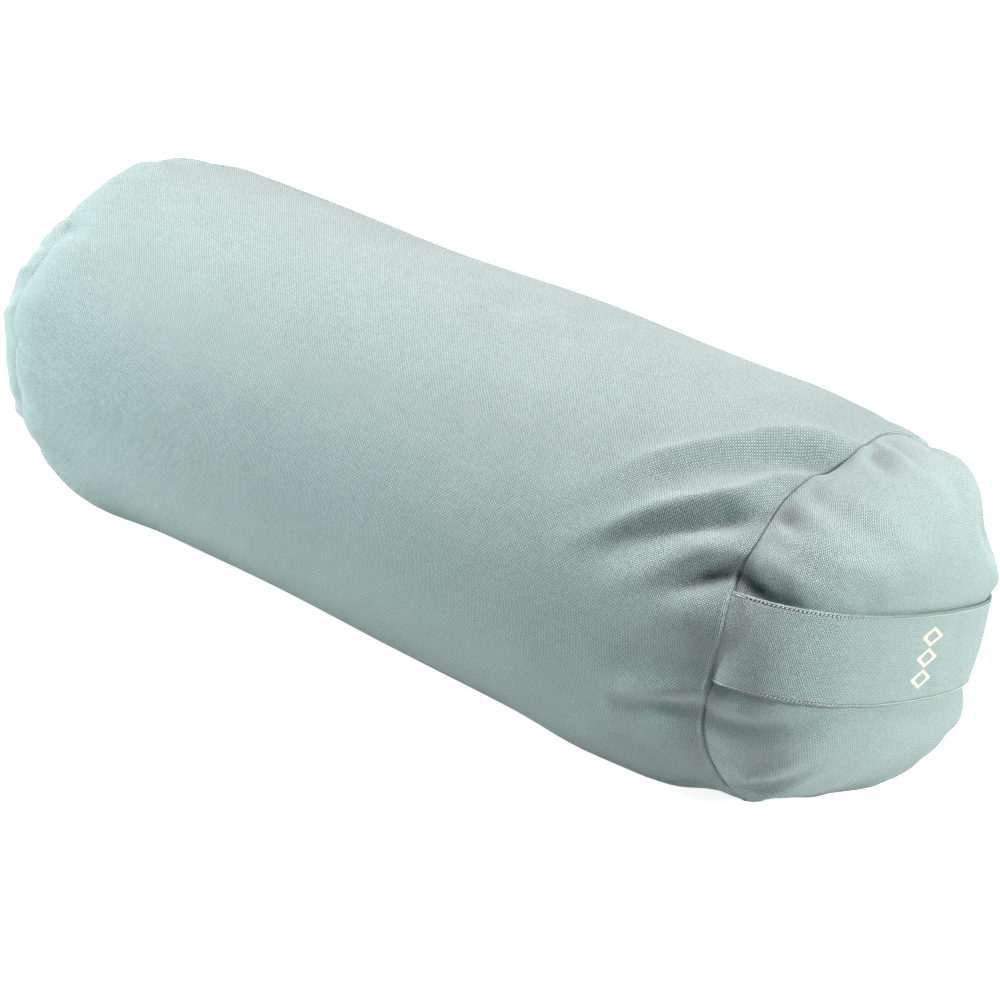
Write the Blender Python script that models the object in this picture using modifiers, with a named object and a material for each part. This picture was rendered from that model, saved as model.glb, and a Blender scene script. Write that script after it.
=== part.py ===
# Yoga bolster: a round canvas cover over a stuffed inner pillow. A flat carry strap
# runs across the front end, and a long zip lies in the side away from it, at +Y.
# Units are metres and +Z is up. +X runs towards the strap. The origin is the middle
# of the flattened underside, halfway between the two end seams.

import math

import bmesh
import bpy
from mathutils import Matrix, Vector

# The stuffed cover
TUBE_LENGTH = 0.525          # between the two end seams
HALF_WIDTH = 0.110           # of the straight stretch
SQUASH = 0.945               # height of the section over its width
SECTION_POWER = 2.25         # 2 is an ellipse, and more fills its corners
UNDERSIDE_PRESS = 0.0052     # how far the underside is pressed flat

# The front end, which is the fuller one
FRONT_SEAM_INSET = 0.0128    # how far the end seam lies inside the tube's width
FRONT_ROUNDING = 0.071       # length over which the tube draws in to the seam
FRONT_BULGE = 0.064          # of the end panel, out from its seam
FRONT_POWER = 2.6            # of the end panel's profile: 2 is an ellipse
FRONT_LEAN_SIDE = 0.004      # how far the panel's peak lies towards +Y
FRONT_LEAN_DOWN = -0.004     # how far the panel's peak lies below the middle

# The rear end, which sags
REAR_SEAM_INSET = 0.0160
REAR_ROUNDING = 0.036
REAR_BULGE = 0.064
REAR_POWER = 1.8
REAR_LEAN_SIDE = 0.0
REAR_LEAN_DOWN = 0.024

# Cloth and sewing
CANVAS = 0.0010              # thickness of the cover's cloth
SEAM_ALLOWANCE = 0.008       # cloth turned inwards at an end seam
OVERLOCK_THREAD = 0.0008     # thickness of the thread over the raw edges
OVERLOCK_BITE = 0.003        # how far that thread reaches over the cloth
THREAD_RADIUS = 0.0004       # of a topstitched row
GAP = 0.0003                 # between pieces that touch

# Inner pillow
CASE_CLOTH = 0.0005          # thickness of the lining
PILLOW_GAP = 0.0004          # between the cover and the pillow
FILLING_GAP = 0.0008         # between the lining and the filling
PILLOW_SEAM_BACK = 0.004     # how far its end seams lie behind the cover's
PILLOW_SEAM_ROOM = 0.003     # between its end seams and the overlocked edges

# Carry strap
STRAP_WIDTH = 0.048
STRAP_THICKNESS = 0.0020
STRAP_TILT = math.radians(21)   # its -Y end is the higher one
STRAP_OFFSET = 0.002            # how far it lies above the middle of the end
STRAP_STITCH_INSET = 0.0025     # of the topstitching from the strap's edges

# Zip
ZIP_END_MARGIN = 0.0925      # from an end seam to the end of the zip's slot
SLOT_WIDTH = 0.012
TAPE_WIDTH = 0.012
TAPE_THICKNESS = 0.0006
TAPE_TAIL = 0.008            # of the tape, past the end of the slot
CHAIN_GAP = 0.0016           # between the two rows of teeth
TEETH_WIDTH = 0.0030         # of one row, with its spine
SPINE_WIDTH = 0.0012         # of the moulded strip that the teeth stand on
TEETH_THICKNESS = 0.0024
TOOTH_PITCH = 0.005
TOOTH_LENGTH = 0.0024
STOP_FROM_SLOT_END = 0.002
TOP_STOP_LENGTH = 0.002
BOTTOM_STOP_LENGTH = 0.004
STOP_PROUD = 0.0004          # of the teeth, on each face
ZIP_STITCH_INSET = 0.002     # of the topstitching from the slot's edges
BAR_TACK_LENGTH = 0.002
BAR_TACK_HEIGHT = 0.0008

# Slider and pull tab
SLIDER_LENGTH = 0.012
PLATE_THICKNESS = 0.0010
FLANGE_THICKNESS = 0.0006
POST_WIDTH = 0.0010
BRIDGE_LENGTH = 0.008
BRIDGE_WIDTH = 0.002
BRIDGE_WALL = 0.0008         # over the hole
TAB_LENGTH = 0.024
TAB_WIDTH = 0.007
TAB_THICKNESS = 0.0012
TAB_PLAY = 0.0004            # round the bridge and in its hole

# How finely round shapes are cut
SIDES = 40
ROUNDING_STEPS = 5
END_STEPS = 8
PILLOW_END_STEPS = 6
CORNER_STEPS = 8
EDGE_STEPS = 2
HOLE_SIDES = 12
SHARP_ANGLE = math.radians(35)
WELD = 0.000001

# Places that follow from the sizes
SEAM_X = TUBE_LENGTH / 2
CENTRE_HEIGHT = HALF_WIDTH * SQUASH - UNDERSIDE_PRESS
OVERLOCK_HALF = GAP / 2 + CANVAS + GAP
PILLOW_RADIUS = HALF_WIDTH - CANVAS - PILLOW_GAP
PILLOW_SEAM_X = SEAM_X - PILLOW_SEAM_BACK

# The zip lies in the flat facet of the side at +Y, and its depths count from there
SIDE_FACE = HALF_WIDTH * math.cos(math.pi / SIDES) ** (2 / SECTION_POWER)
SLOT_HALF = SEAM_X - ZIP_END_MARGIN
TEETH_INNER = CHAIN_GAP / 2
TEETH_OUTER = TEETH_INNER + TEETH_WIDTH
TAPE_FACE = SIDE_FACE - CANVAS - GAP
TEETH_PLANE = TAPE_FACE - TAPE_THICKNESS / 2
TEETH_TOP = TEETH_PLANE + TEETH_THICKNESS / 2
TEETH_BOTTOM = TEETH_PLANE - TEETH_THICKNESS / 2
TOP_STOP_X = SLOT_HALF - STOP_FROM_SLOT_END - TOP_STOP_LENGTH / 2
BOTTOM_STOP_X = -SLOT_HALF + STOP_FROM_SLOT_END + BOTTOM_STOP_LENGTH / 2
TEETH_FRONT_X = TOP_STOP_X - TOP_STOP_LENGTH / 2 - GAP
TEETH_REAR_X = BOTTOM_STOP_X + BOTTOM_STOP_LENGTH / 2 + GAP
SLIDER_X = TEETH_FRONT_X - SLIDER_LENGTH / 2
PLATE_CLEAR = STOP_PROUD + GAP
SLIDER_TOP = TEETH_TOP + PLATE_CLEAR + PLATE_THICKNESS
SLIDER_BOTTOM = TEETH_BOTTOM - PLATE_CLEAR - PLATE_THICKNESS
ZIP_POCKET = SIDE_FACE - SLIDER_BOTTOM + PILLOW_GAP
HOLE_RADIUS = TAB_THICKNESS / math.sqrt(2) + TAB_PLAY
TAB_AXIS = SLIDER_TOP + HOLE_RADIUS


class End:
    # Sizes of one end. Its profiles are drawn with x counted outwards from the middle.
    def __init__(self, seam_inset, rounding, bulge, power, lean_side, lean_down):
        self.bulge = bulge
        self.power = power
        self.lean_side = lean_side
        self.lean_down = lean_down
        self.straight_half = SEAM_X - rounding
        self.seam_radius = HALF_WIDTH - seam_inset
        self.allowance_tip = self.seam_radius - SEAM_ALLOWANCE
        self.overlock_bore = self.allowance_tip - GAP - OVERLOCK_THREAD
        self.pillow_seam_radius = self.overlock_bore - PILLOW_SEAM_ROOM
        self.pillow_bulge = PILLOW_SEAM_BACK + bulge - CANVAS - PILLOW_GAP


FRONT = End(
    FRONT_SEAM_INSET, FRONT_ROUNDING, FRONT_BULGE, FRONT_POWER,
    FRONT_LEAN_SIDE, FRONT_LEAN_DOWN,
)
REAR = End(
    REAR_SEAM_INSET, REAR_ROUNDING, REAR_BULGE, REAR_POWER,
    REAR_LEAN_SIDE, REAR_LEAN_DOWN,
)


def clear_scene():
    for item in list(bpy.data.objects):
        bpy.data.objects.remove(item, do_unlink=True)


def new_collection(name):
    group = bpy.data.collections.new(name)
    bpy.context.scene.collection.children.link(group)
    return group


def new_material(name, colour, roughness, metallic=0.0):
    material = bpy.data.materials.new(name)
    material.use_nodes = True
    shader = material.node_tree.nodes["Principled BSDF"]
    shader.inputs["Base Color"].default_value = (*colour, 1.0)
    shader.inputs["Roughness"].default_value = roughness
    shader.inputs["Metallic"].default_value = metallic
    return material


def baked_mesh(guide):
    # The evaluated shape as one welded mesh, with its faces pointing out
    depsgraph = bpy.context.evaluated_depsgraph_get()
    mesh = bpy.data.meshes.new_from_object(guide.evaluated_get(depsgraph))
    bpy.data.objects.remove(guide, do_unlink=True)
    work = bmesh.new()
    work.from_mesh(mesh)
    bmesh.ops.remove_doubles(work, verts=work.verts, dist=WELD)
    bmesh.ops.recalc_face_normals(work, faces=work.faces)
    work.to_mesh(mesh)
    work.free()
    return mesh


def add_piece(name, mesh, material, matrix=Matrix.Identity(4)):
    mesh.name = name
    mesh.materials.clear()
    mesh.materials.append(material)
    mesh.shade_smooth()
    mesh.set_sharp_from_angle(angle=SHARP_ANGLE)
    piece = bpy.data.objects.new(name, mesh)
    pieces.objects.link(piece)
    piece.matrix_world = matrix
    return piece


def hang_on(piece, parent):
    piece.parent = parent
    piece.matrix_parent_inverse = parent.matrix_world.inverted()


# Section and profiles

def drawn_in(x, end, radius, seam_x, seam_radius):
    # Radius of a round side that draws in to its seam
    into = (x - end.straight_half) / (seam_x - end.straight_half)
    bend = min(1.0, max(0.0, into))
    return radius - (radius - seam_radius) * (1.0 - math.sqrt(1.0 - bend * bend))


def outer_radius(x):
    end = FRONT if x > 0.0 else REAR
    return drawn_in(abs(x), end, HALF_WIDTH, SEAM_X, end.seam_radius)


def pillow_radius(x, end):
    return drawn_in(x, end, PILLOW_RADIUS, PILLOW_SEAM_X, end.pillow_seam_radius)


def curved(value):
    return math.copysign(abs(value) ** (2 / SECTION_POWER), value)


def pressed(point, beside_zip):
    # Takes a point of a turned shape to the bolster's own section: a squashed, slightly
    # square round, pressed flat underneath and, for the pillow, also behind the zip
    x, across, up = point
    radius = math.hypot(across, up)
    if radius < WELD:
        y, z = 0.0, 0.0
    else:
        inset = outer_radius(x) - radius
        y = radius * curved(across / radius)
        z = SQUASH * radius * curved(up / radius)
        z = max(z, min(0.0, inset - CENTRE_HEIGHT))
        if beside_zip:
            y = min(y, SIDE_FACE - ZIP_POCKET - (inset - CANVAS - PILLOW_GAP))
    end = FRONT if x > 0.0 else REAR
    lean = max(0.0, abs(x) - SEAM_X) / end.bulge
    return Vector((x, y + end.lean_side * lean, CENTRE_HEIGHT + z - end.lean_down * lean))


def offset_line(line, inward):
    # A profile moved sideways, to the right of its direction. Points are (x, radius).
    moved = []
    for index, point in enumerate(line):
        here = Vector(point)
        before = Vector(line[index - 1]) if index > 0 else None
        after = Vector(line[index + 1]) if index < len(line) - 1 else None
        if before is None and here.y < WELD:
            before = Vector((after.x, -after.y))
        if after is None and here.y < WELD:
            after = Vector((before.x, -before.y))
        sides = [b - a for a, b in ((before, here), (here, after)) if a and b]
        normals = [Vector((side.y, -side.x)).normalized() for side in sides]
        mean = sum(normals, Vector((0.0, 0.0))).normalized()
        moved.append(tuple(here + mean * inward / mean.dot(normals[0])))
    return moved


def mirrored(line):
    return [(-x, radius) for x, radius in reversed(line)]


def rounding_places(end, last_x):
    # From the straight stretch to the seam, closer together towards the seam
    places = []
    for step in range(ROUNDING_STEPS + 1):
        turn = math.pi / 2 * step / ROUNDING_STEPS
        places.append(end.straight_half + (last_x - end.straight_half) * math.sin(turn))
    return places


def end_line(end, seam_x, radius, bulge, steps):
    # From the seam to the peak of an end panel
    line = []
    for step in range(steps + 1):
        turn = math.pi / 2 * step / steps
        x = seam_x + bulge * math.sin(turn) ** (2 / end.power)
        line.append((x, radius * max(0.0, math.cos(turn)) ** (2 / end.power)))
    line[-1] = (seam_x + bulge, 0.0)
    return line


def turned(name, line, material, closed=False, beside_zip=False):
    # Turns a profile of (x, radius) about the X axis, then presses it to the section
    half_side = math.pi / SIDES
    points = [(x, r * math.cos(half_side), r * math.sin(half_side)) for x, r in line]
    edges = [(i, i + 1) for i in range(len(line) - 1)]
    if closed:
        edges.append((len(line) - 1, 0))
    profile = bpy.data.meshes.new(name + "_profile")
    profile.from_pydata(points, edges, [])
    guide = bpy.data.objects.new(name + "_profile", profile)
    bpy.context.scene.collection.objects.link(guide)
    screw = guide.modifiers.new("Turn", "SCREW")
    screw.axis = "X"
    screw.angle = 2 * math.pi
    screw.steps = SIDES
    screw.render_steps = SIDES
    screw.use_merge_vertices = True
    screw.merge_threshold = WELD
    mesh = baked_mesh(guide)
    for vertex in mesh.vertices:
        vertex.co = pressed(vertex.co, beside_zip)
    return add_piece(name, mesh, material)


# Straight pieces

def placed(origin, right, up):
    right = Vector(right).normalized()
    up = Vector(up).normalized()
    columns = [right, up, right.cross(up), Vector(origin)]
    return Matrix([[column[row] for column in columns] for row in range(3)] + [[0, 0, 0, 1]])


def new_curve(name, lines, dimensions, cyclic):
    curve = bpy.data.curves.new(name, "CURVE")
    curve.dimensions = dimensions
    for line in lines:
        spline = curve.splines.new("POLY")
        spline.points.add(len(line) - 1)
        for point, place in zip(spline.points, line):
            point.co = (*place, *[0.0] * (3 - len(place)), 1.0)
        spline.use_cyclic_u = cyclic
    guide = bpy.data.objects.new(name + "_outline", curve)
    bpy.context.scene.collection.objects.link(guide)
    return guide


def extruded(name, outlines, depth, matrix, material):
    guide = new_curve(name, outlines, "2D", True)
    guide.data.fill_mode = "BOTH"
    guide.data.extrude = depth / 2
    return add_piece(name, baked_mesh(guide), material, matrix)


def thread_row(name, line, material, matrix=Matrix.Identity(4)):
    guide = new_curve(name, [line], "3D", False)
    guide.data.bevel_depth = THREAD_RADIUS
    guide.data.bevel_resolution = 1
    guide.data.use_fill_caps = True
    return add_piece(name, baked_mesh(guide), material, matrix)


def box_mesh(name, size):
    mesh = bpy.data.meshes.new(name)
    work = bmesh.new()
    bmesh.ops.create_cube(work, size=1.0)
    bmesh.ops.scale(work, verts=work.verts, vec=size)
    work.to_mesh(mesh)
    work.free()
    return mesh


def rounded_box(name, centre, size, radius, material):
    matrix = Matrix.Translation(centre)
    piece = add_piece(name, box_mesh(name, size), material, matrix)
    bevel = piece.modifiers.new("Edges", "BEVEL")
    bevel.width = radius
    bevel.segments = EDGE_STEPS
    return piece


def add_cutter(name, mesh, matrix):
    cutter = bpy.data.objects.new(name, mesh)
    cutters.objects.link(cutter)
    cutter.matrix_world = matrix
    cutter.hide_render = True
    cutter.display_type = "WIRE"
    return cutter


def combine(piece, other, operation):
    change = piece.modifiers.new(operation.title(), "BOOLEAN")
    change.operation = operation
    change.solver = "EXACT"
    change.object = other


# The cover

def dome_line(end):
    return end_line(end, SEAM_X + GAP / 2, end.seam_radius, end.bulge, END_STEPS)


def tube_half(end):
    last_x = SEAM_X - GAP / 2
    line = []
    for x in rounding_places(end, last_x):
        line.append((x, drawn_in(x, end, HALF_WIDTH, SEAM_X, end.seam_radius)))
    return line + [(last_x, end.allowance_tip)]


def end_panel_wall(end):
    outside = [(SEAM_X + GAP / 2, end.allowance_tip)] + dome_line(end)
    inside = list(reversed(offset_line(outside, CANVAS)))
    # The chain runs from the inner peak, round the raw edge, to the outer peak
    return inside + outside


def make_cover():
    outside = mirrored(tube_half(REAR)) + tube_half(FRONT)
    wall = outside + list(reversed(offset_line(outside, CANVAS)))
    tube = turned("cover_tube", wall, canvas, closed=True)

    # The slot's cutter stands proud of the cloth on both faces
    slot_size = (2 * SLOT_HALF, 4 * CANVAS, SLOT_WIDTH)
    slot_centre = Matrix.Translation((0.0, SIDE_FACE - CANVAS / 2, CENTRE_HEIGHT))
    slot = add_cutter("zip_slot", box_mesh("zip_slot", slot_size), slot_centre)
    combine(tube, slot, "DIFFERENCE")

    turned("cover_end_front", end_panel_wall(FRONT), canvas)
    turned("cover_end_rear", mirrored(end_panel_wall(REAR)), canvas)


def make_overlock(name, end, seam_x):
    outer = OVERLOCK_HALF + OVERLOCK_THREAD
    top = end.allowance_tip + OVERLOCK_BITE
    bore = end.allowance_tip - GAP
    channel = [
        (seam_x - outer, top),
        (seam_x - outer, end.overlock_bore),
        (seam_x + outer, end.overlock_bore),
        (seam_x + outer, top),
        (seam_x + OVERLOCK_HALF, top),
        (seam_x + OVERLOCK_HALF, bore),
        (seam_x - OVERLOCK_HALF, bore),
        (seam_x - OVERLOCK_HALF, top),
    ]
    turned(name, channel, overlock_thread, closed=True)


# The inner pillow

def pillow_half(end):
    return [(x, pillow_radius(x, end)) for x in rounding_places(end, PILLOW_SEAM_X)]


def pillow_dome(end):
    radius = end.pillow_seam_radius
    return end_line(end, PILLOW_SEAM_X, radius, end.pillow_bulge, PILLOW_END_STEPS)


def pillow_end_wall(end):
    dome = pillow_dome(end)
    outside = [(PILLOW_SEAM_X + GAP, dome[0][1])] + dome[1:]
    return list(reversed(offset_line(outside, CASE_CLOTH))) + outside


def make_pillow():
    side = mirrored(pillow_half(REAR)) + pillow_half(FRONT)
    wall = side + list(reversed(offset_line(side, CASE_CLOTH)))
    turned("inner_case_tube", wall, lining, closed=True, beside_zip=True)
    turned("inner_case_end_front", pillow_end_wall(FRONT), lining)
    turned("inner_case_end_rear", mirrored(pillow_end_wall(REAR)), lining)

    whole = mirrored(pillow_dome(REAR))[:-1] + side + pillow_dome(FRONT)[1:]
    core = offset_line(whole, CASE_CLOTH + FILLING_GAP)
    turned("filling", core, kapok, beside_zip=True)


# The carry strap

def strap_place(point):
    # Along the strap's run and across its width, both from the middle of the end
    y = point.y
    z = point.z - CENTRE_HEIGHT
    run = y * math.cos(STRAP_TILT) - z * math.sin(STRAP_TILT)
    width = y * math.sin(STRAP_TILT) + z * math.cos(STRAP_TILT)
    return run, width - STRAP_OFFSET


def strap_reach(x, radius, side):
    # How far one ring of the end panel reaches under the strap, along its run
    turns = [2 * math.pi * (i + 0.5) / SIDES for i in range(SIDES + 1)]
    ring = [pressed((x, radius * math.cos(t), radius * math.sin(t)), False) for t in turns]
    found = []
    for first, second in zip(ring, ring[1:]):
        (run_a, width_a), (run_b, width_b) = strap_place(first), strap_place(second)
        if abs(width_a) <= STRAP_WIDTH / 2:
            found.append(side * run_a)
        for edge in (-STRAP_WIDTH / 2, STRAP_WIDTH / 2):
            if (width_a - edge) * (width_b - edge) < 0:
                share = (edge - width_a) / (width_b - width_a)
                found.append(side * (run_a + share * (run_b - run_a)))
    return side * max(found)


def strap_line(lift):
    # The strap's run over the front end, as (run, x) points, lifted off it
    rings = dome_line(FRONT)
    near = [(strap_reach(x, r, -1), x) for x, r in rings[:-1]]
    far = [(strap_reach(x, r, 1), x) for x, r in rings[:-1]]
    peak_x = rings[-1][0]
    peak_run = strap_place(pressed((peak_x, 0.0, 0.0), False))[0]
    line = offset_line(near + [(peak_run, peak_x)] + list(reversed(far)), -lift)
    # Both ends stay level with the seam
    return [(line[0][0], rings[0][0])] + line[1:-1] + [(line[-1][0], rings[0][0])]


def make_strap():
    run_axis = (0.0, math.cos(STRAP_TILT), -math.sin(STRAP_TILT))
    width_axis = Vector((0.0, math.sin(STRAP_TILT), math.cos(STRAP_TILT)))
    middle = Vector((0.0, 0.0, CENTRE_HEIGHT)) + width_axis * STRAP_OFFSET
    matrix = placed(middle, run_axis, (1.0, 0.0, 0.0))
    outline = strap_line(GAP) + list(reversed(strap_line(GAP + STRAP_THICKNESS)))
    strap = extruded("carry_handle", [outline], STRAP_WIDTH, matrix, canvas)

    row_line = strap_line(GAP + STRAP_THICKNESS + GAP + THREAD_RADIUS)
    # The row's local third axis runs down the strap's width
    level = STRAP_WIDTH / 2 - STRAP_STITCH_INSET
    for name, depth in (("handle_stitch_upper", -level), ("handle_stitch_lower", level)):
        row = [(run, max(x, SEAM_X + THREAD_RADIUS + GAP), depth) for run, x in row_line]
        hang_on(thread_row(name, row, topstitch, matrix), strap)


# The zip

def side_line(depth, low, high):
    # The faceted side at +Y, this deep under the cover's surface, as (y, height) points
    radius = HALF_WIDTH - depth
    corners = []
    for index in range(SIDES // 4):
        turn = 2 * math.pi * (index + 0.5) / SIDES
        corners.append((radius * curved(math.cos(turn)), SQUASH * radius * curved(math.sin(turn))))
    corners.insert(0, (corners[0][0], 0.0))
    line = []
    for (y_a, z_a), (y_b, z_b) in zip(corners, corners[1:]):
        for height in (low, high):
            if z_a <= height < z_b:
                share = (height - z_a) / (z_b - z_a)
                line.append((y_a + share * (y_b - y_a), height))
        if low < z_b < high:
            line.append((y_b, z_b))
    return sorted(line, key=lambda place: place[1])


def make_tape(name, side):
    low = TEETH_OUTER + GAP
    high = low + TAPE_WIDTH
    face = side_line(CANVAS + GAP, low, high)
    back = side_line(CANVAS + GAP + TAPE_THICKNESS, low, high)
    outline = [(y, side * z) for y, z in face + list(reversed(back))]
    matrix = placed((0.0, 0.0, CENTRE_HEIGHT), (0.0, 1.0, 0.0), (0.0, 0.0, 1.0))
    extruded(name, [outline], 2 * (SLOT_HALF + TAPE_TAIL), matrix, zip_tape)


def make_teeth(name, side, shift):
    # A moulded spine with teeth towards the other row
    outline = [(TEETH_FRONT_X, side * TEETH_OUTER), (TEETH_REAR_X, side * TEETH_OUTER)]
    outline.append((TEETH_REAR_X, side * (TEETH_OUTER - SPINE_WIDTH)))
    root = side * (TEETH_OUTER - SPINE_WIDTH)
    tip = side * TEETH_INNER
    count = int((TEETH_FRONT_X - TEETH_REAR_X) / TOOTH_PITCH - 1)
    for index in range(count):
        start = TEETH_REAR_X + (index + 0.5 + shift) * TOOTH_PITCH
        outline.append((start, root))
        outline.append((start, tip))
        outline.append((start + TOOTH_LENGTH, tip))
        outline.append((start + TOOTH_LENGTH, root))
    outline.append((TEETH_FRONT_X, root))
    matrix = placed((0.0, TEETH_PLANE, CENTRE_HEIGHT), (1.0, 0.0, 0.0), (0.0, 0.0, 1.0))
    extruded(name, [outline], TEETH_THICKNESS, matrix, zip_teeth)


def make_stops():
    thickness = TEETH_THICKNESS + 2 * STOP_PROUD
    for name, side in (("zip_top_stop_upper", 1), ("zip_top_stop_lower", -1)):
        height = CENTRE_HEIGHT + side * (TEETH_INNER + TEETH_OUTER) / 2
        size = (TOP_STOP_LENGTH, thickness, TEETH_WIDTH)
        rounded_box(name, (TOP_STOP_X, TEETH_PLANE, height), size, GAP, zip_metal)
    size = (BOTTOM_STOP_LENGTH, thickness, 2 * TEETH_OUTER)
    centre = (BOTTOM_STOP_X, TEETH_PLANE, CENTRE_HEIGHT)
    rounded_box("zip_bottom_stop", centre, size, GAP, zip_metal)


def make_zip_stitches():
    level = SLOT_WIDTH / 2 + ZIP_STITCH_INSET
    proud = SIDE_FACE + GAP + THREAD_RADIUS
    for name, side in (("zip_stitch_upper", 1), ("zip_stitch_lower", -1)):
        height = CENTRE_HEIGHT + side * level
        row = [(-SLOT_HALF, proud, height), (SLOT_HALF, proud, height)]
        thread_row(name, row, topstitch)
    size = (BAR_TACK_LENGTH, BAR_TACK_HEIGHT, SLOT_WIDTH)
    for name, side in (("zip_bar_tack_front", 1), ("zip_bar_tack_rear", -1)):
        x = side * (SLOT_HALF + BAR_TACK_LENGTH)
        centre = (x, SIDE_FACE + GAP + BAR_TACK_HEIGHT / 2, CENTRE_HEIGHT)
        rounded_box(name, centre, size, GAP, topstitch)


def make_slider():
    # Two plates with flanges round the teeth, joined by a post between the rows
    post = POST_WIDTH / 2
    inner = TEETH_OUTER + GAP
    outer = inner + FLANGE_THICKNESS
    top = SLIDER_TOP - PLATE_THICKNESS
    bottom = SLIDER_BOTTOM + PLATE_THICKNESS
    half = [
        (SLIDER_TOP, outer),
        (TAPE_FACE + GAP, outer),
        (TAPE_FACE + GAP, inner),
        (top, inner),
        (top, post),
        (bottom, post),
        (bottom, inner),
        (TAPE_FACE - TAPE_THICKNESS - GAP, inner),
        (TAPE_FACE - TAPE_THICKNESS - GAP, outer),
        (SLIDER_BOTTOM, outer),
    ]
    outline = half + [(y, -z) for y, z in reversed(half)]
    outline = [(y - TEETH_PLANE, z) for y, z in outline]
    centre = (SLIDER_X, TEETH_PLANE, CENTRE_HEIGHT)
    matrix = placed(centre, (0.0, 1.0, 0.0), (0.0, 0.0, 1.0))
    slider = extruded("zip_slider", [outline], SLIDER_LENGTH, matrix, zip_metal)

    # The bridge starts inside the top plate, so that the two are one solid
    foot = SLIDER_TOP - PLATE_THICKNESS / 2
    crown = TAB_AXIS + HOLE_RADIUS + BRIDGE_WALL
    bridge_size = (BRIDGE_LENGTH, crown - foot, BRIDGE_WIDTH)
    bridge_centre = Matrix.Translation((SLIDER_X, (crown + foot) / 2, CENTRE_HEIGHT))
    bridge = add_cutter("slider_bridge", box_mesh("slider_bridge", bridge_size), bridge_centre)
    combine(slider, bridge, "UNION")

    hole_mesh = bpy.data.meshes.new("bridge_hole")
    work = bmesh.new()
    bmesh.ops.create_cone(
        work, cap_ends=True, segments=HOLE_SIDES, radius1=HOLE_RADIUS,
        radius2=HOLE_RADIUS, depth=2 * BRIDGE_WIDTH,
    )
    work.to_mesh(hole_mesh)
    work.free()
    axis = Matrix.Translation((SLIDER_X, TAB_AXIS, CENTRE_HEIGHT))
    combine(slider, add_cutter("bridge_hole", hole_mesh, axis), "DIFFERENCE")
    return slider


def make_pull_tab(slider):
    # Its crossbar lies in the bridge's hole, and its window goes round the bridge
    bar = TAB_THICKNESS / 2
    side = TAB_WIDTH / 2
    outline = [(bar, -side), (bar, side)]
    end_x = -TAB_LENGTH + side
    for step in range(CORNER_STEPS + 1):
        turn = math.pi / 2 + math.pi * step / CORNER_STEPS
        outline.append((end_x + side * math.cos(turn), side * math.sin(turn)))
    window_side = BRIDGE_WIDTH / 2 + TAB_PLAY
    window_end = -BRIDGE_LENGTH / 2 - 2 * TAB_PLAY
    window = [
        (-bar, -window_side),
        (-bar, window_side),
        (window_end, window_side),
        (window_end, -window_side),
    ]
    matrix = placed((SLIDER_X, TAB_AXIS, CENTRE_HEIGHT), (1.0, 0.0, 0.0), (0.0, 0.0, 1.0))
    tab = extruded("zip_pull_tab", [outline, window], TAB_THICKNESS, matrix, zip_metal)
    hang_on(tab, slider)


clear_scene()
pieces = new_collection("yoga_bolster")
cutters = new_collection("cutters")

canvas = new_material("canvas", (0.33, 0.46, 0.44), 0.9)
topstitch = new_material("topstitch", (0.45, 0.58, 0.56), 0.8)
overlock_thread = new_material("overlock_thread", (0.55, 0.63, 0.60), 0.9)
lining = new_material("lining", (0.72, 0.69, 0.62), 0.95)
kapok = new_material("kapok", (0.80, 0.74, 0.60), 1.0)
zip_tape = new_material("zip_tape", (0.30, 0.42, 0.41), 0.9)
zip_teeth = new_material("zip_teeth", (0.28, 0.40, 0.39), 0.5)
zip_metal = new_material("zip_metal", (0.60, 0.60, 0.58), 0.35, 1.0)

make_cover()
make_overlock("front_seam_overlock", FRONT, SEAM_X)
make_overlock("rear_seam_overlock", REAR, -SEAM_X)
make_pillow()
make_strap()
make_tape("zip_tape_upper", 1)
make_tape("zip_tape_lower", -1)
make_teeth("zip_teeth_upper", 1, 0.0)
make_teeth("zip_teeth_lower", -1, 0.5)
make_stops()
make_zip_stitches()
make_pull_tab(make_slider())
bpy.context.view_layer.update()
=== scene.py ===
import math

import bpy
import numpy as np
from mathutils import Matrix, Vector


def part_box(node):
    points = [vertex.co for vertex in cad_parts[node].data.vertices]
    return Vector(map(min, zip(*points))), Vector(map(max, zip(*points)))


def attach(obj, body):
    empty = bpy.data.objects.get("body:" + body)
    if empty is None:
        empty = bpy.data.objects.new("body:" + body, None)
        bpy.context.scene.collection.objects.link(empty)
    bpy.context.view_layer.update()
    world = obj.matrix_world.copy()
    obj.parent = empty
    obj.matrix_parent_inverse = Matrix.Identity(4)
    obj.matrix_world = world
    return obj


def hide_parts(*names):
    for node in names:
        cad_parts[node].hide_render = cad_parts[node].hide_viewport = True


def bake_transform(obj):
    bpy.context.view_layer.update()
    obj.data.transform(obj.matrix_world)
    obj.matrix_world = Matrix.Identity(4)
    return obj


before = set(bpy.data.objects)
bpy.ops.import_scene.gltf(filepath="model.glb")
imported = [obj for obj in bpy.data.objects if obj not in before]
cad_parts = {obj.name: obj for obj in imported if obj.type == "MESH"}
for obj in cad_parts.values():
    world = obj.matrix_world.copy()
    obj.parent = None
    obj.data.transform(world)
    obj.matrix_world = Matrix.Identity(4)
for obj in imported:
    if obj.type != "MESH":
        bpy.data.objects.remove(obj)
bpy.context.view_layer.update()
chance = np.random.default_rng(11)

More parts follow.
